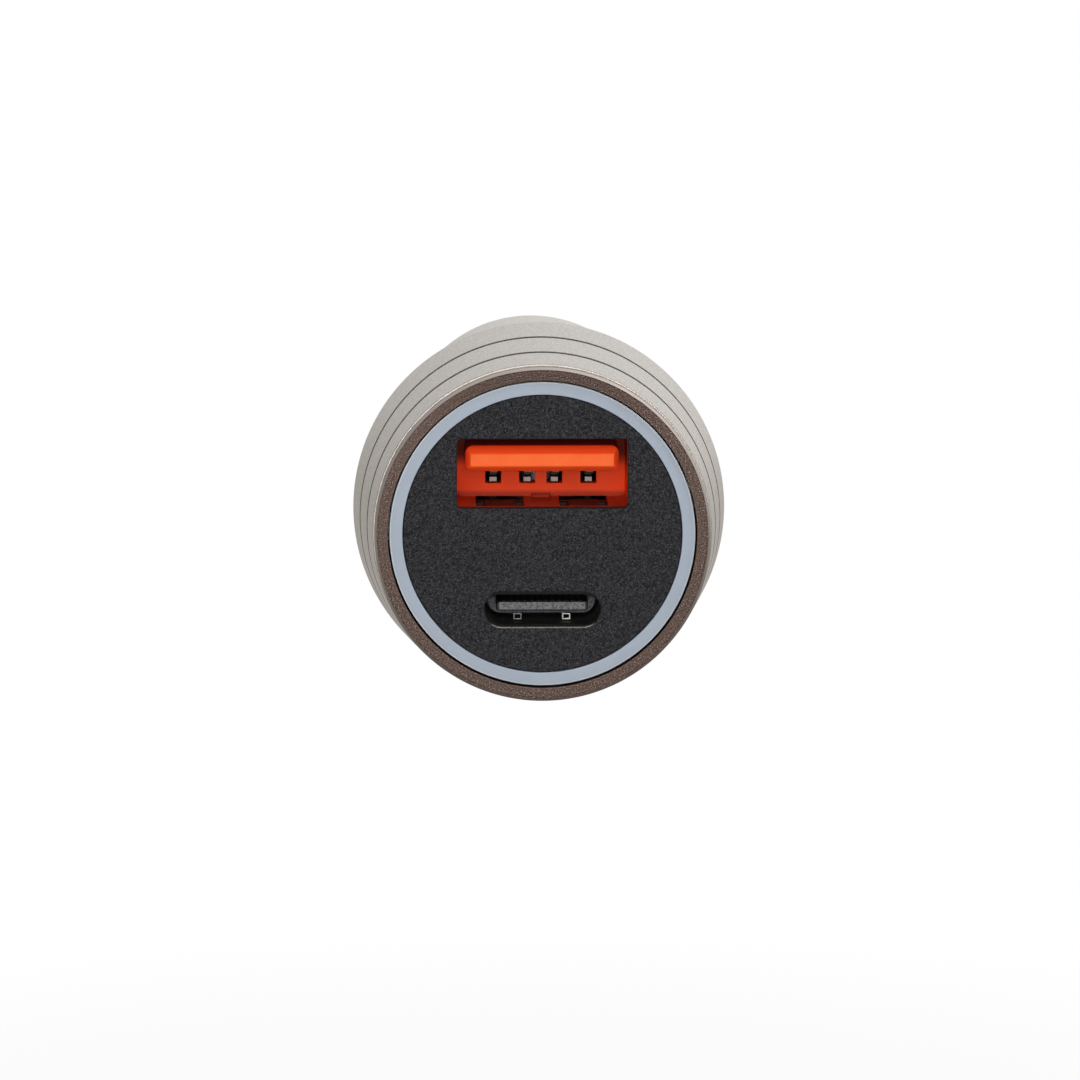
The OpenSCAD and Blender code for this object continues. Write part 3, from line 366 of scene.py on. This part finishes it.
def port_orange():
    """Semi-gloss orange plastic with a faint grain. Painted shade darkens the chamfer behind the
    front, and the inside of the port, most towards its ceiling and its floor."""
    paint = Paint("port_orange", IOR=1.5, Specular_IOR_Level=0.1)
    fine = paint.noise(0.12, 2.0)
    cloud = paint.noise(1.8, 3.0)
    base = paint.mix(cloud.over(0.3, 0.7), (1.0, 0.130, 0.027), (1.0, 0.165, 0.037))
    chamfer_shade, inside = paint.depth().over(1.72, 1.80), paint.depth().over(1.9, 2.6)
    ceiling, clear_of_floor_shade = paint.axis("Z").over(4.2, 5.0), paint.axis("Z").over(2.1, 2.4)
    # Painted shade on the chamfer, inside the port, under its ceiling and over its floor
    base = paint.mix(chamfer_shade, base, (1.0, 0.075, 0.012))
    inner_shade = paint.mix(ceiling, (0.95, 0.066, 0.007), (0.26, 0.024, 0.008))
    base = paint.mix(inside, base, inner_shade)
    base = paint.mix(clear_of_floor_shade, (0.45, 0.034, 0.010), base)
    rough = 0.42 + fine * 0.1
    return paint.finish(Base_Color=base, Roughness=rough, Normal=paint.bump(fine, 2.5))


def contact_plating():
    """Dull plated strip, which gets less light in its upper part and behind its foot."""
    paint = Paint("plated_contact", Metallic=1.0)
    stain = paint.noise(0.3, 3.0)
    base = paint.mix(stain.over(0.3, 0.7), (0.10, 0.082, 0.078), (0.15, 0.122, 0.118))
    upper, behind = paint.axis("Z").over(3.35, 3.45), paint.depth().over(8.1, 8.35)
    base = paint.mix(upper, base, (0.045, 0.036, 0.034))
    base = paint.mix(behind, base, (0.018, 0.010, 0.009))
    return paint.finish(Base_Color=base, Roughness=0.28 + stain * 0.15, Normal=paint.bump(stain, 3.0))


def circuit_board():
    """Green solder mask over a glass weave, with copper tracks showing through as lighter lines."""
    paint = Paint("circuit_board", IOR=1.5)
    threads = 14.0
    weave = (paint.axis("X") * threads).wave() * (paint.axis("Y") * threads).wave() * 0.5 + 0.5
    tracks = paint.cell_edges(1.6).over(0.05, 0.08)
    base = paint.mix(tracks, (0.05, 0.26, 0.12), (0.012, 0.10, 0.045))
    rough = 0.34 + weave * 0.1
    return paint.finish(Base_Color=base, Roughness=rough, Normal=paint.bump(weave + tracks, 6.0))


def wound_copper():
    """Enamelled wire in close turns around an upright axis, with painted shade between the turns."""
    paint = Paint("wound_copper", Metallic=0.85)
    pitch = 0.42
    turns = (paint.axis("Z") * (FULL_TURN / pitch)).wave()
    stain = paint.noise(0.8, 2.0)
    # Painted shade darkens the wire between the turns
    base = paint.mix(turns.over(-1, 1), (0.20, 0.07, 0.03), (0.62, 0.27, 0.13))
    return paint.finish(Base_Color=base, Roughness=0.3 + stain * 0.15, Normal=paint.bump(turns, 60.0))


def pale_ceramic(name, colour):
    """Fired ceramic or ferrite with fine darker specks."""
    paint = Paint(name, IOR=1.5)
    specks = paint.noise(0.1, 2.0)
    cloud = paint.noise(1.2, 2.0)
    base = paint.mix(specks.over(0.55, 0.75), colour, shade(colour, 0.75))
    rough = 0.45 + cloud * 0.15
    return paint.finish(Base_Color=base, Roughness=rough, Normal=paint.bump(specks, 3.0))


def lamp_body():
    """Clear resin over a phosphor, yellow and pale in soft clouds."""
    paint = Paint("lamp_body", IOR=1.5)
    cloud = paint.noise(0.5, 2.0)
    base = paint.mix(cloud.over(0.35, 0.65), (0.85, 0.72, 0.35), (0.92, 0.90, 0.80))
    return paint.finish(Base_Color=base, Roughness=0.2 + cloud * 0.15, Normal=paint.bump(cloud, 8.0))


# Each material slot's finish
FINISHES = {
    "blasted_shell": blasted_shell(),
    "brown_trim": turned_trim(),
    "light_guide": milky_guide(),
    # The face's last step paints a highlight along the lower edge of the lower window
    "face_black": spark_grain("face_black", (0.0165, 0.0165, 0.0190), (0.11, 0.11, 0.12), 0.16, 80.0,
                              0.58, 0.12, 0.9, painted_rim_highlight),
    "port_orange": port_orange(),
    "shell_steel": rolled_steel("shell_steel", (0.50, 0.50, 0.50), 0.32),
    "plated_contact": contact_plating(),
    "port_black": spark_grain("port_black", (0.135, 0.135, 0.140), (0.26, 0.26, 0.265), 0.22, 10.0,
                              0.42, 0.15, 0.5, shaded_top),
    "circuit_board": circuit_board(),
    "lamp": lamp_body(),
    "moulded_black": spark_grain("moulded_black", (0.022, 0.022, 0.024), (0.06, 0.06, 0.065), 0.30,
                                 30.0, 0.50),
    "ferrite": pale_ceramic("ferrite", (0.055, 0.055, 0.06)),
    "copper_wire": wound_copper(),
    "capacitor_can": rolled_steel("capacitor_can", (0.60, 0.63, 0.70), 0.30, (1.0, 1.0, 0.05)),
    "chip_body": spark_grain("chip_body", (0.020, 0.020, 0.022), (0.05, 0.05, 0.05), 0.20, 8.0,
                             0.60),
    "white_ceramic": pale_ceramic("white_ceramic", (0.78, 0.77, 0.73)),
    "tan_ceramic": pale_ceramic("tan_ceramic", (0.42, 0.28, 0.16)),
    "nickel_plate": rolled_steel("nickel_plate", (0.66, 0.645, 0.61), 0.20, (0.3, 0.3, 1.0)),
    "spring_steel": rolled_steel("spring_steel", (0.48, 0.48, 0.49), 0.26, (0.3, 0.3, 0.3)),
}

# Finishes of single pieces that differ from their slot's
# Painted shade: dark steel for the lower port's shell, which sits in shade
SHADE_DARK_STEEL = rolled_steel("shade_dark_steel", (0.085, 0.075, 0.07), 0.45)
SHADED_STEEL = rolled_steel("shaded_steel", (0.040, 0.030, 0.027), 0.50)
# The left tab of the bright tin gets painted shade
BRIGHT_TIN = rolled_steel("bright_tin", (0.84, 0.82, 0.78), 0.30, metallic=0.5, left_shade=0.35)


def at(x, depth, z=0.0):
    """A point in metres from its place in millimetres and its depth."""
    return Vector((x * MM, (depth - ORIGIN_DEPTH) * MM, z * MM))


def linked(name, data):
    """A new object in the scene."""
    thing = bpy.data.objects.new(name, data)
    bpy.context.scene.collection.objects.link(thing)
    return thing


def keep(bm, name, slot, replaced=(), body="charger", finish=None):
    """Makes the bmesh a piece with its finish, its body and the CAD nodes that it stands for."""
    mesh = bpy.data.meshes.new(name)
    bm.to_mesh(mesh)
    bm.free()
    piece = linked(name, mesh)
    mesh.materials.append(finish or FINISHES[slot])
    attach(piece, body)
    if replaced:
        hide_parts(*replaced)
    return piece


def close(bm):
    """Merges doubles and points all faces outwards."""
    bmesh.ops.remove_doubles(bm, verts=bm.verts, dist=2e-7)
    bmesh.ops.recalc_face_normals(bm, faces=bm.faces)


def wire(bm, corners, ring=True, segments=4):
    """Joins corners (radius, depth, rounding) into a wire. Each rounded corner gets an arc, and a
    point close to each end of the arc keeps the long faces beside it evenly shaded."""
    points = [at(radius, depth) for radius, depth, _ in corners]
    count = len(points)
    chain = []
    rounded = {}
    guard = 0.03
    for index, (place, (_, _, rounding)) in enumerate(zip(points, corners)):
        reach = (rounding + guard) * MM
        before = points[(index - 1) % count] - place
        after = points[(index + 1) % count] - place
        if rounding and before.length > reach * 1.2:
            chain.append(bm.verts.new(place + before.normalized() * reach))
        corner = bm.verts.new(place)
        chain.append(corner)
        if rounding:
            rounded.setdefault(rounding, []).append(corner)
        if rounding and after.length > reach * 1.2:
            chain.append(bm.verts.new(place + after.normalized() * reach))
    ends = chain[1:] + chain[:1] if ring else chain[1:]
    for first, second in zip(chain, ends):
        bm.edges.new((first, second))
    for rounding, verts in rounded.items():
        bmesh.ops.bevel(bm, geom=verts, offset=rounding * MM, offset_type="OFFSET", segments=segments,
                        profile=0.5, affect="VERTICES", material=-1)


def turn(bm, steps):
    """Turns the wire about the plug's axis into a closed skin."""
    geom = list(bm.verts) + list(bm.edges)
    bmesh.ops.spin(bm, geom=geom, cent=(0, 0, 0), axis=(0, 1, 0), dvec=(0, 0, 0), angle=FULL_TURN,
                   steps=steps, use_merge=True, use_duplicate=False)
    close(bm)
    for face in bm.faces:
        face.smooth = True


def crease(bm, degrees=35):
    """Marks the edges that stay sharp."""
    limit = math.radians(degrees)
    for edge in bm.edges:
        edge.smooth = not (len(edge.link_faces) == 2 and edge.calc_face_angle(0.0) > limit)


def turned(name, corners, slot, replaced, body="charger", ring=True, steps=240, segments=4):
    """A piece turned from a wire of corners."""
    bm = bmesh.new()
    wire(bm, corners, ring, segments)
    turn(bm, steps)
    crease(bm)
    return keep(bm, name, slot, replaced, body)


def softened(name, node, slot, width, body="charger", segments=2, finish=None):
    """A copy of a CAD node with its sharp edges taken off."""
    bm = bmesh.new()
    bm.from_mesh(nodes[node].data)
    bmesh.ops.remove_doubles(bm, verts=bm.verts, dist=1e-6)
    flat, edged = math.radians(0.4), math.radians(28)
    bmesh.ops.dissolve_limit(bm, angle_limit=flat, verts=bm.verts, edges=bm.edges)
    bends = {e: e.calc_face_angle(0.0) for e in bm.edges if len(e.link_faces) == 2}
    sharp = [e for e, bend in bends.items() if bend > edged]
    curved = {f for e, bend in bends.items() if flat < bend < edged for f in e.link_faces}
    for face in bm.faces:
        face.smooth = face in curved
    made = bmesh.ops.bevel(bm, geom=sharp, offset=width * MM, offset_type="OFFSET", segments=segments,
                           profile=0.5, affect="EDGES", material=-1, clamp_overlap=True)
    for face in made["faces"]:
        face.smooth = True
    crease(bm, 50)
    return keep(bm, name, slot, (node,), body, finish)


def loop(bm, width, height, corner, middle, depth):
    """A wire loop with rounded corners, seen from the front. The arcs stop just short of the full
    corner, so that two of them never end in one point."""
    known = set(bm.edges)
    verts = [bm.verts.new(at(x * width / 2, depth, middle + z * height / 2))
             for x, z in ((1, 1), (-1, 1), (-1, -1), (1, -1))]
    bm.faces.new(verts)
    bmesh.ops.bevel(bm, geom=verts, offset=corner * 0.999 * MM, offset_type="OFFSET", segments=10,
                    profile=0.5, affect="VERTICES", material=-1)
    edges = [e for e in bm.edges if e not in known]
    faces = list({f for e in edges for f in e.link_faces})
    bmesh.ops.delete(bm, geom=faces, context="FACES_ONLY")
    return edges


def sleeve(bm, width, height, corner, middle, steps):
    """Loops of one outline, each grown by a number and set at a depth, bridged in order."""
    loops = [loop(bm, width + 2 * grow, height + 2 * grow, corner + grow, middle, depth)
             for grow, depth in steps]
    for near, far in zip(loops, loops[1:]):
        bmesh.ops.bridge_loops(bm, edges=near + far)
    return loops


def head_r(depth):
    """The head's outer radius at a depth."""
    return HEAD_FRONT_R + HEAD_FLARE * depth / HEAD_FLARE_LENGTH


def body_shell():
    """The metal body: flared head with two grooves, and the barrel with a slot on each side."""
    front = [(11.75, BODY_FRONT, 0.05), (head_r(BODY_FRONT), BODY_FRONT, 0.06)]
    grooves = []
    for depth in GROOVES:
        floor_r = head_r(depth) - GROOVE_CUT
        near, far = depth - GROOVE_HALF, depth + GROOVE_HALF
        grooves += [(head_r(near), near, 0.03), (floor_r, near, 0), (floor_r, far, 0),
                    (head_r(far), far, 0.03)]
    shoulder = [(13.957, SHOULDER, 1.0), (10.45, SHOULDER, 0.15)]
    barrel = [(10.45, 29.0, 0.03), (10.25, 29.0, 0), (10.25, 29.6, 0), (10.4, 29.6, 0.03),
              (10.4, 55.3, 0.1), (9.9, BODY_END, 0.1), (9.45, BODY_END, 0.06)]
    bore = [(9.45, 15.5, 0), (10.7, 15.5, 0), (10.7, 4.8, 0), (11.2, 4.8, 0), (11.2, 2.9, 0),
            (11.75, 2.9, 0)]
    bm = bmesh.new()
    wire(bm, front + grooves + shoulder + barrel + bore, segments=5)
    turn(bm, 240)
    for side in (-1, 1):
        cut_slot(bm, side)
    crease(bm)
    return keep(bm, "body_shell_blasted", "blasted_shell", ("body_shell",))


def cut_slot(bm, side):
    """Opens the barrel's wall for a side contact, with rounded corners."""
    half_y, half_z, corner = 6.8 * MM, 2.7 * MM, 0.5 * MM
    middle = at(0, SIDE_CONTACT).y
    wall_from, elsewhere = 6 * MM, (1, 1)

    def offset(face):
        """How far a face of this side's wall lies from the slot's middle, along and across."""
        place = face.calc_center_median()
        return (place.y - middle, place.z) if place.x * side > wall_from else elsewhere

    def cut(place, direction, low, high):
        """Cuts the faces whose offset lies between low and high along a plane."""
        faces = [f for f in bm.faces
                 if all(least < part < most for part, least, most in zip(offset(f), low, high))]
        geom = set(faces)
        for face in faces:
            geom.update(face.edges)
            geom.update(face.verts)
        bmesh.ops.bisect_plane(bm, geom=list(geom), dist=1e-8, plane_co=place, plane_no=direction)

    high = (12 * MM, 4 * MM)
    low = (-12 * MM, -4 * MM)
    for sign in (-1, 1):
        cut((0, 0, sign * half_z), (0, 0, 1), low, high)
        cut((0, middle + sign * half_y, 0), (0, 1, 0), low, high)
    for sign_y in (-1, 1):
        for sign_z in (-1, 1):
            near = (sign_y * (half_y - corner), sign_z * (half_z - corner))
            far = (sign_y * half_y, sign_z * half_z)
            low = tuple(min(pair) for pair in zip(near, far))
            high = tuple(max(pair) for pair in zip(near, far))
            for degrees in (18, 45, 72):
                angle = math.radians(degrees)
                out = Vector((0, sign_y * math.cos(angle), sign_z * math.sin(angle)))
                cut(Vector((0, middle + near[0], near[1])) + out * corner, out, low, high)

    def inside(face):
        """Whether a face lies in the slot's outline."""
        along, across = (abs(part) for part in offset(face))
        past = (max(along - half_y + corner, 0), max(across - half_z + corner, 0))
        return math.hypot(*past) < corner

    bmesh.ops.delete(bm, geom=[f for f in bm.faces if inside(f)], context="FACES")
    bmesh.ops.bridge_loops(bm, edges=[e for e in bm.edges if e.is_boundary])
    bmesh.ops.recalc_face_normals(bm, faces=bm.faces)


def faceplate():
    """The black disc, with softened edges around its rim and its two windows."""
    bm = bmesh.new()
    lip = 0.07
    edge = FACE_FRONT + lip
    steps = [(0.0, FACE_BACK), (0.0, edge), (lip * 0.13, FACE_FRONT + lip * 0.5),
             (lip * 0.5, FACE_FRONT + lip * 0.13), (lip, FACE_FRONT)]
    upper = sleeve(bm, *UPPER_WINDOW, UPPER_PORT_Z, steps)
    lower = sleeve(bm, *LOWER_WINDOW, LOWER_PORT_Z, steps)
    rims = []
    for grow, depth in ((0.0, FACE_BACK), (0.0, edge), (-lip * 0.3, FACE_FRONT + lip * 0.3),
                        (-lip, FACE_FRONT)):
        place = Matrix.Translation(at(0, depth)) @ Matrix.Rotation(math.pi / 2, 4, "X")
        known = set(bm.edges)
        bmesh.ops.create_circle(bm, segments=240, radius=(FACE_R + grow) * MM, matrix=place)
        rims.append([e for e in bm.edges if e not in known])
    for near, far in zip(rims, rims[1:]):
        bmesh.ops.bridge_loops(bm, edges=near + far)
    for face in bm.faces:
        face.smooth = True
    for index in (0, -1):
        outline = rims[index] + upper[index] + lower[index]
        flat = bmesh.ops.triangle_fill(bm, edges=outline, use_beauty=True)
        for item in flat["geom"]:
            if isinstance(item, bmesh.types.BMFace):
                item.smooth = False
    close(bm)
    crease(bm, 50)
    return keep(bm, "faceplate_moulded", "face_black", ("faceplate",))


def usb_c_shell():
    """The lower port's drawn steel shell, with a rolled lip."""
    bm = bmesh.new()
    wall, back = 0.3, 9.2
    lip = [(0.0, 0.18), (0.03, 0.08), (0.08, 0.02), (0.15, 0.0), (0.22, 0.02), (0.28, 0.08),
           (wall, 0.18)]
    lip = [(grow, FACE_BACK + behind) for grow, behind in lip]
    sleeve(bm, *LOWER_SHELL, LOWER_PORT_Z, [(0.0, back), *lip, (wall, back), (0.0, back)])
    close(bm)
    for face in bm.faces:
        face.smooth = True
    crease(bm, 50)
    return keep(bm, "usb_c_shell_drawn", "shell_steel", ("usb_c_shell",), finish=SHADE_DARK_STEEL)


def usb_c_tabs():
    """The two square tabs punched up from the lower port's floor, each with a square hole."""
    bm = bmesh.new()
    for side in (-1, 1):
        middle = at(side * 1.78, 3.3, LOWER_PORT_Z - 0.9)
        place = Matrix.Translation(middle) @ Matrix.Rotation(math.radians(80), 4, "X")
        made = bmesh.ops.create_grid(bm, x_segments=1, y_segments=1, size=0.28 * MM, matrix=place)
        face = made["verts"][0].link_faces[0]
        bmesh.ops.scale(bm, vec=(1.1, 1, 0.85), space=Matrix.Translation(-middle),
                        verts=made["verts"])
        bmesh.ops.inset_individual(bm, faces=[face], thickness=0.14 * MM)
        bmesh.ops.delete(bm, geom=[face], context="FACES_ONLY")
    bmesh.ops.recalc_face_normals(bm, faces=bm.faces)
    bmesh.ops.solidify(bm, geom=list(bm.faces), thickness=0.18 * MM)
    close(bm)
    edges = [e for e in bm.edges if e.calc_face_angle(0.0) > 1]
    bmesh.ops.bevel(bm, geom=edges, offset=0.05 * MM, offset_type="OFFSET", segments=3, profile=0.5,
                    affect="EDGES", material=-1, clamp_overlap=True)
    for face in bm.faces:
        face.smooth = True
    return keep(bm, "usb_c_shell_tabs", "shell_steel", finish=BRIGHT_TIN)


def coil(name, node, foot, direction, outer_r, wire_r, length, turns):
    """A coil spring from its foot along a direction."""
    bm = bmesh.new()
    around, steps = 14, 28 * turns
    start = ((outer_r - wire_r) * MM, 0, wire_r * MM)
    place = Matrix.Translation(start) @ Matrix.Rotation(math.pi / 2, 4, "X")
    bmesh.ops.create_circle(bm, segments=around, radius=wire_r * MM, matrix=place, cap_ends=False)
    rise = (length - 2 * wire_r) * MM / steps
    geom = list(bm.verts) + list(bm.edges)
    bmesh.ops.spin(bm, geom=geom, cent=(0, 0, 0), axis=(0, 0, 1), dvec=(0, 0, rise),
                   angle=FULL_TURN * turns, steps=steps, use_merge=False, use_duplicate=False)
    bmesh.ops.holes_fill(bm, edges=[e for e in bm.edges if e.is_boundary], sides=around)
    turned_to = Vector((0, 0, 1)).rotation_difference(Vector(direction)).to_matrix().to_4x4()
    bmesh.ops.transform(bm, matrix=Matrix.Translation(foot) @ turned_to, verts=bm.verts)
    close(bm)
    for face in bm.faces:
        face.smooth = True
    crease(bm, 60)
    spring = keep(bm, name, "spring_steel", (node,))
    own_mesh(spring)
    return spring


body_shell()
turned("bezel_ring_trim",
       [(11.2, 0.0, 0.04), (TRIM_R - TRIM_CHAMFER, 0.0, 0.03), (TRIM_R, TRIM_CHAMFER, 0.03),
        (TRIM_R, 1.0, 0.05), (11.7, 1.0, 0), (11.7, 2.9, 0), (11.2, 2.9, 0)],
       "brown_trim", ("bezel_ring",))
turned("light_ring_guide",
       [(10.16, FACE_FRONT, 0.04), (GUIDE_R, FACE_FRONT, 0.04), (GUIDE_R, 3.8, 0), (10.55, 3.8, 0),
        (10.55, FACE_BACK, 0), (10.16, FACE_BACK, 0)],
       "light_guide", ("light_ring",))
faceplate()
softened("usb_a_housing_moulded", "usb_a_housing", "port_orange", 0.13, segments=3)
softened("usb_a_shell_folded", "usb_a_shell", "shell_steel", 0.05, finish=SHADED_STEEL)
for number in (1, 2, 3, 4):
    softened(f"usb_a_contact_{number}_strip", f"usb_a_contact_{number}", "plated_contact", 0.05)
usb_c_shell()
usb_c_tabs()
softened("usb_c_tongue_block", "usb_c_tongue", "port_black", 0.06)
softened("usb_c_contact_strips", "usb_c_contacts", "plated_contact", 0.015, finish=SHADED_STEEL)
for side_name in ("left", "right"):
    softened(f"{side_name}_ground_contact_bow", f"{side_name}_ground_contact", "nickel_plate", 0.09,
             body=f"{side_name}_contact", segments=3)
turned("nose_insulator_moulded",
       [(4.6, NOSE_BACK, 0), (9.4, NOSE_BACK, 0.1), (9.4, BODY_END, 0), (9.65, BODY_END, 0),
        (9.65, 56.8, 0.3), (8.6, 56.8, 0.2), (5.6, 60.7, 0.2), (5.45, 61.5, 0.5), (2.5, 61.5, 0.12),
        (2.5, 58.6, 0), (4.6, 58.6, 0)],
       "moulded_black", ("nose_insulator",), segments=6)
turned("centre_contact_tip",
       [(0, 55.4, 0), (1.3, 55.4, 0.15), (1.3, 57.4, 0), (4.3, 57.4, 0.1), (4.3, 58.6, 0.1),
        (2.45, 58.6, 0), (2.45, 64.2, 1.3), (0, 64.2, 0)],
       "nickel_plate", ("centre_contact",), body="tip", ring=False, steps=120, segments=10)
coil("centre_spring_coil", "centre_spring", at(0, NOSE_BACK), (0, 1, 0),
     outer_r=2.4, wire_r=0.25, length=5.0, turns=4)
for side_name, side in (("left", -1), ("right", 1)):
    low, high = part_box(f"{side_name}_contact_spring")
    foot = Vector((side * min(abs(low.x), abs(high.x)), at(0, SIDE_CONTACT).y, 0))
    coil(f"{side_name}_contact_spring_coil", f"{side_name}_contact_spring",
         foot, (side, 0, 0), outer_r=1.5, wire_r=0.16,
         length=(high.x - low.x) / MM, turns=4)

# The hidden parts keep their CAD shapes and take the finish of their slot
slots = {part["node"]: part["material_slot"] for part in frame["record"]["subparts"]}
for name, node in nodes.items():
    node.data.materials.clear()
    node.data.materials.append(FINISHES[slots[name]])


def floor():
    """A pale floor that reads as white away from the plug and keeps the plug's shadow near it."""
    bm = bmesh.new()
    place = Matrix.Translation((0, 0, -0.05))
    bmesh.ops.create_grid(bm, x_segments=1, y_segments=1, size=4.0, matrix=place)
    mesh = bpy.data.meshes.new("floor")
    bm.to_mesh(mesh)
    bm.free()
    piece = linked("floor", mesh)
    paint = Paint("pale_floor", Roughness=0.9, IOR=1.45)
    tone = paint.mix(paint.noise(40.0), (0.90, 0.90, 0.90), (0.92, 0.92, 0.92))
    paint.join(paint.shader.socket.node, {"Base Color": tone})
    glow = paint.node("ShaderNodeEmission", {}, {"Color": (1.0, 1.0, 1.0), "Strength": 1.0})
    seen = paint.node("ShaderNodeLightPath", {}, {}, "Is Camera Ray")
    mirrored = paint.node("ShaderNodeLightPath", {}, {}, "Is Glossy Ray")
    away = paint.node("ShaderNodeVectorMath", {"operation": "LENGTH"}, {0: paint.place}, "Value")
    white = seen * (0.91 + away.over(0.04, 0.10) * 0.09) + mirrored * 0.35
    blend = paint.node("ShaderNodeMixShader", {}, {0: white, 1: paint.shader, 2: glow})
    paint.node("ShaderNodeOutputMaterial", {}, {"Surface": blend}, None)
    mesh.materials.append(paint.material)


def bearing(azimuth, elevation):
    """The way from the plug to a place seen at an azimuth and an elevation in degrees."""
    azimuth, elevation = math.radians(azimuth), math.radians(elevation)
    return Vector((math.sin(azimuth) * math.cos(elevation), -math.cos(azimuth) * math.cos(elevation),
                   math.sin(elevation)))


def stand(thing, target, way, distance):
    """Places a lamp or the camera at a distance from a target, and turns it to the target."""
    thing.location = target + way * distance
    thing.rotation_euler = way.to_track_quat("Z", "Y").to_euler()


def lamp(name, azimuth, elevation, distance, size, level):
    """A soft lamp whose level is the brightness that it gives a white surface facing it."""
    light = bpy.data.lights.new(name, "AREA")
    light.shape = "RECTANGLE"
    light.size = light.size_y = size
    light.energy = level * (math.pi * distance) ** 2
    stand(linked(name, light), at(0, 0), bearing(azimuth, elevation), distance)


def sky():
    """White to the camera and through glass. Mirrors see it fade from the upper right to the left,
    and it lights the rest softly."""
    world = bpy.data.worlds.new("studio")
    bpy.context.scene.world = world
    tree = Tree(world)
    way = tree.node("ShaderNodeTexCoord", {}, {}, "Generated")
    sockets = {0: way, 1: (0.5, 0.4, 0.5)}
    side = tree.node("ShaderNodeVectorMath", {"operation": "DOT_PRODUCT"}, sockets, "Value")
    path = {name: tree.node("ShaderNodeLightPath", {}, {}, name)
            for name in ("Is Camera Ray", "Is Glossy Ray", "Is Transmission Ray")}
    mirrored = path["Is Glossy Ray"] * (0.45 + side.over(-0.2, 0.75) * 0.55)
    level = path["Is Camera Ray"].most(path["Is Transmission Ray"]).most(mirrored).most(0.14)
    light = tree.node("ShaderNodeBackground", {}, {"Color": (1.0, 1.0, 1.0), "Strength": level})
    tree.node("ShaderNodeOutputWorld", {}, {"Surface": light}, None)


floor()
sky()
lamp("low_front", azimuth=-3, elevation=-2, distance=1.0, size=0.50, level=0.71)
lamp("high_front", azimuth=-2, elevation=20, distance=1.0, size=0.25, level=0.24)
lamp("soft_upper_right", azimuth=40, elevation=42, distance=1.0, size=0.45, level=0.20)


def camera():
    """The photo's view: almost straight on at the face, from a little above."""
    data = bpy.data.cameras.new("camera")
    data.lens = 234.6
    data.sensor_width = 36.0
    data.clip_start = 0.01
    view = linked("camera", data)
    stand(view, at(-0.19, 0.0, -0.37), bearing(-1.0, 7.6), 0.510)
    bpy.context.scene.camera = view


camera()
bpy.context.scene.view_settings.view_transform = "Standard"
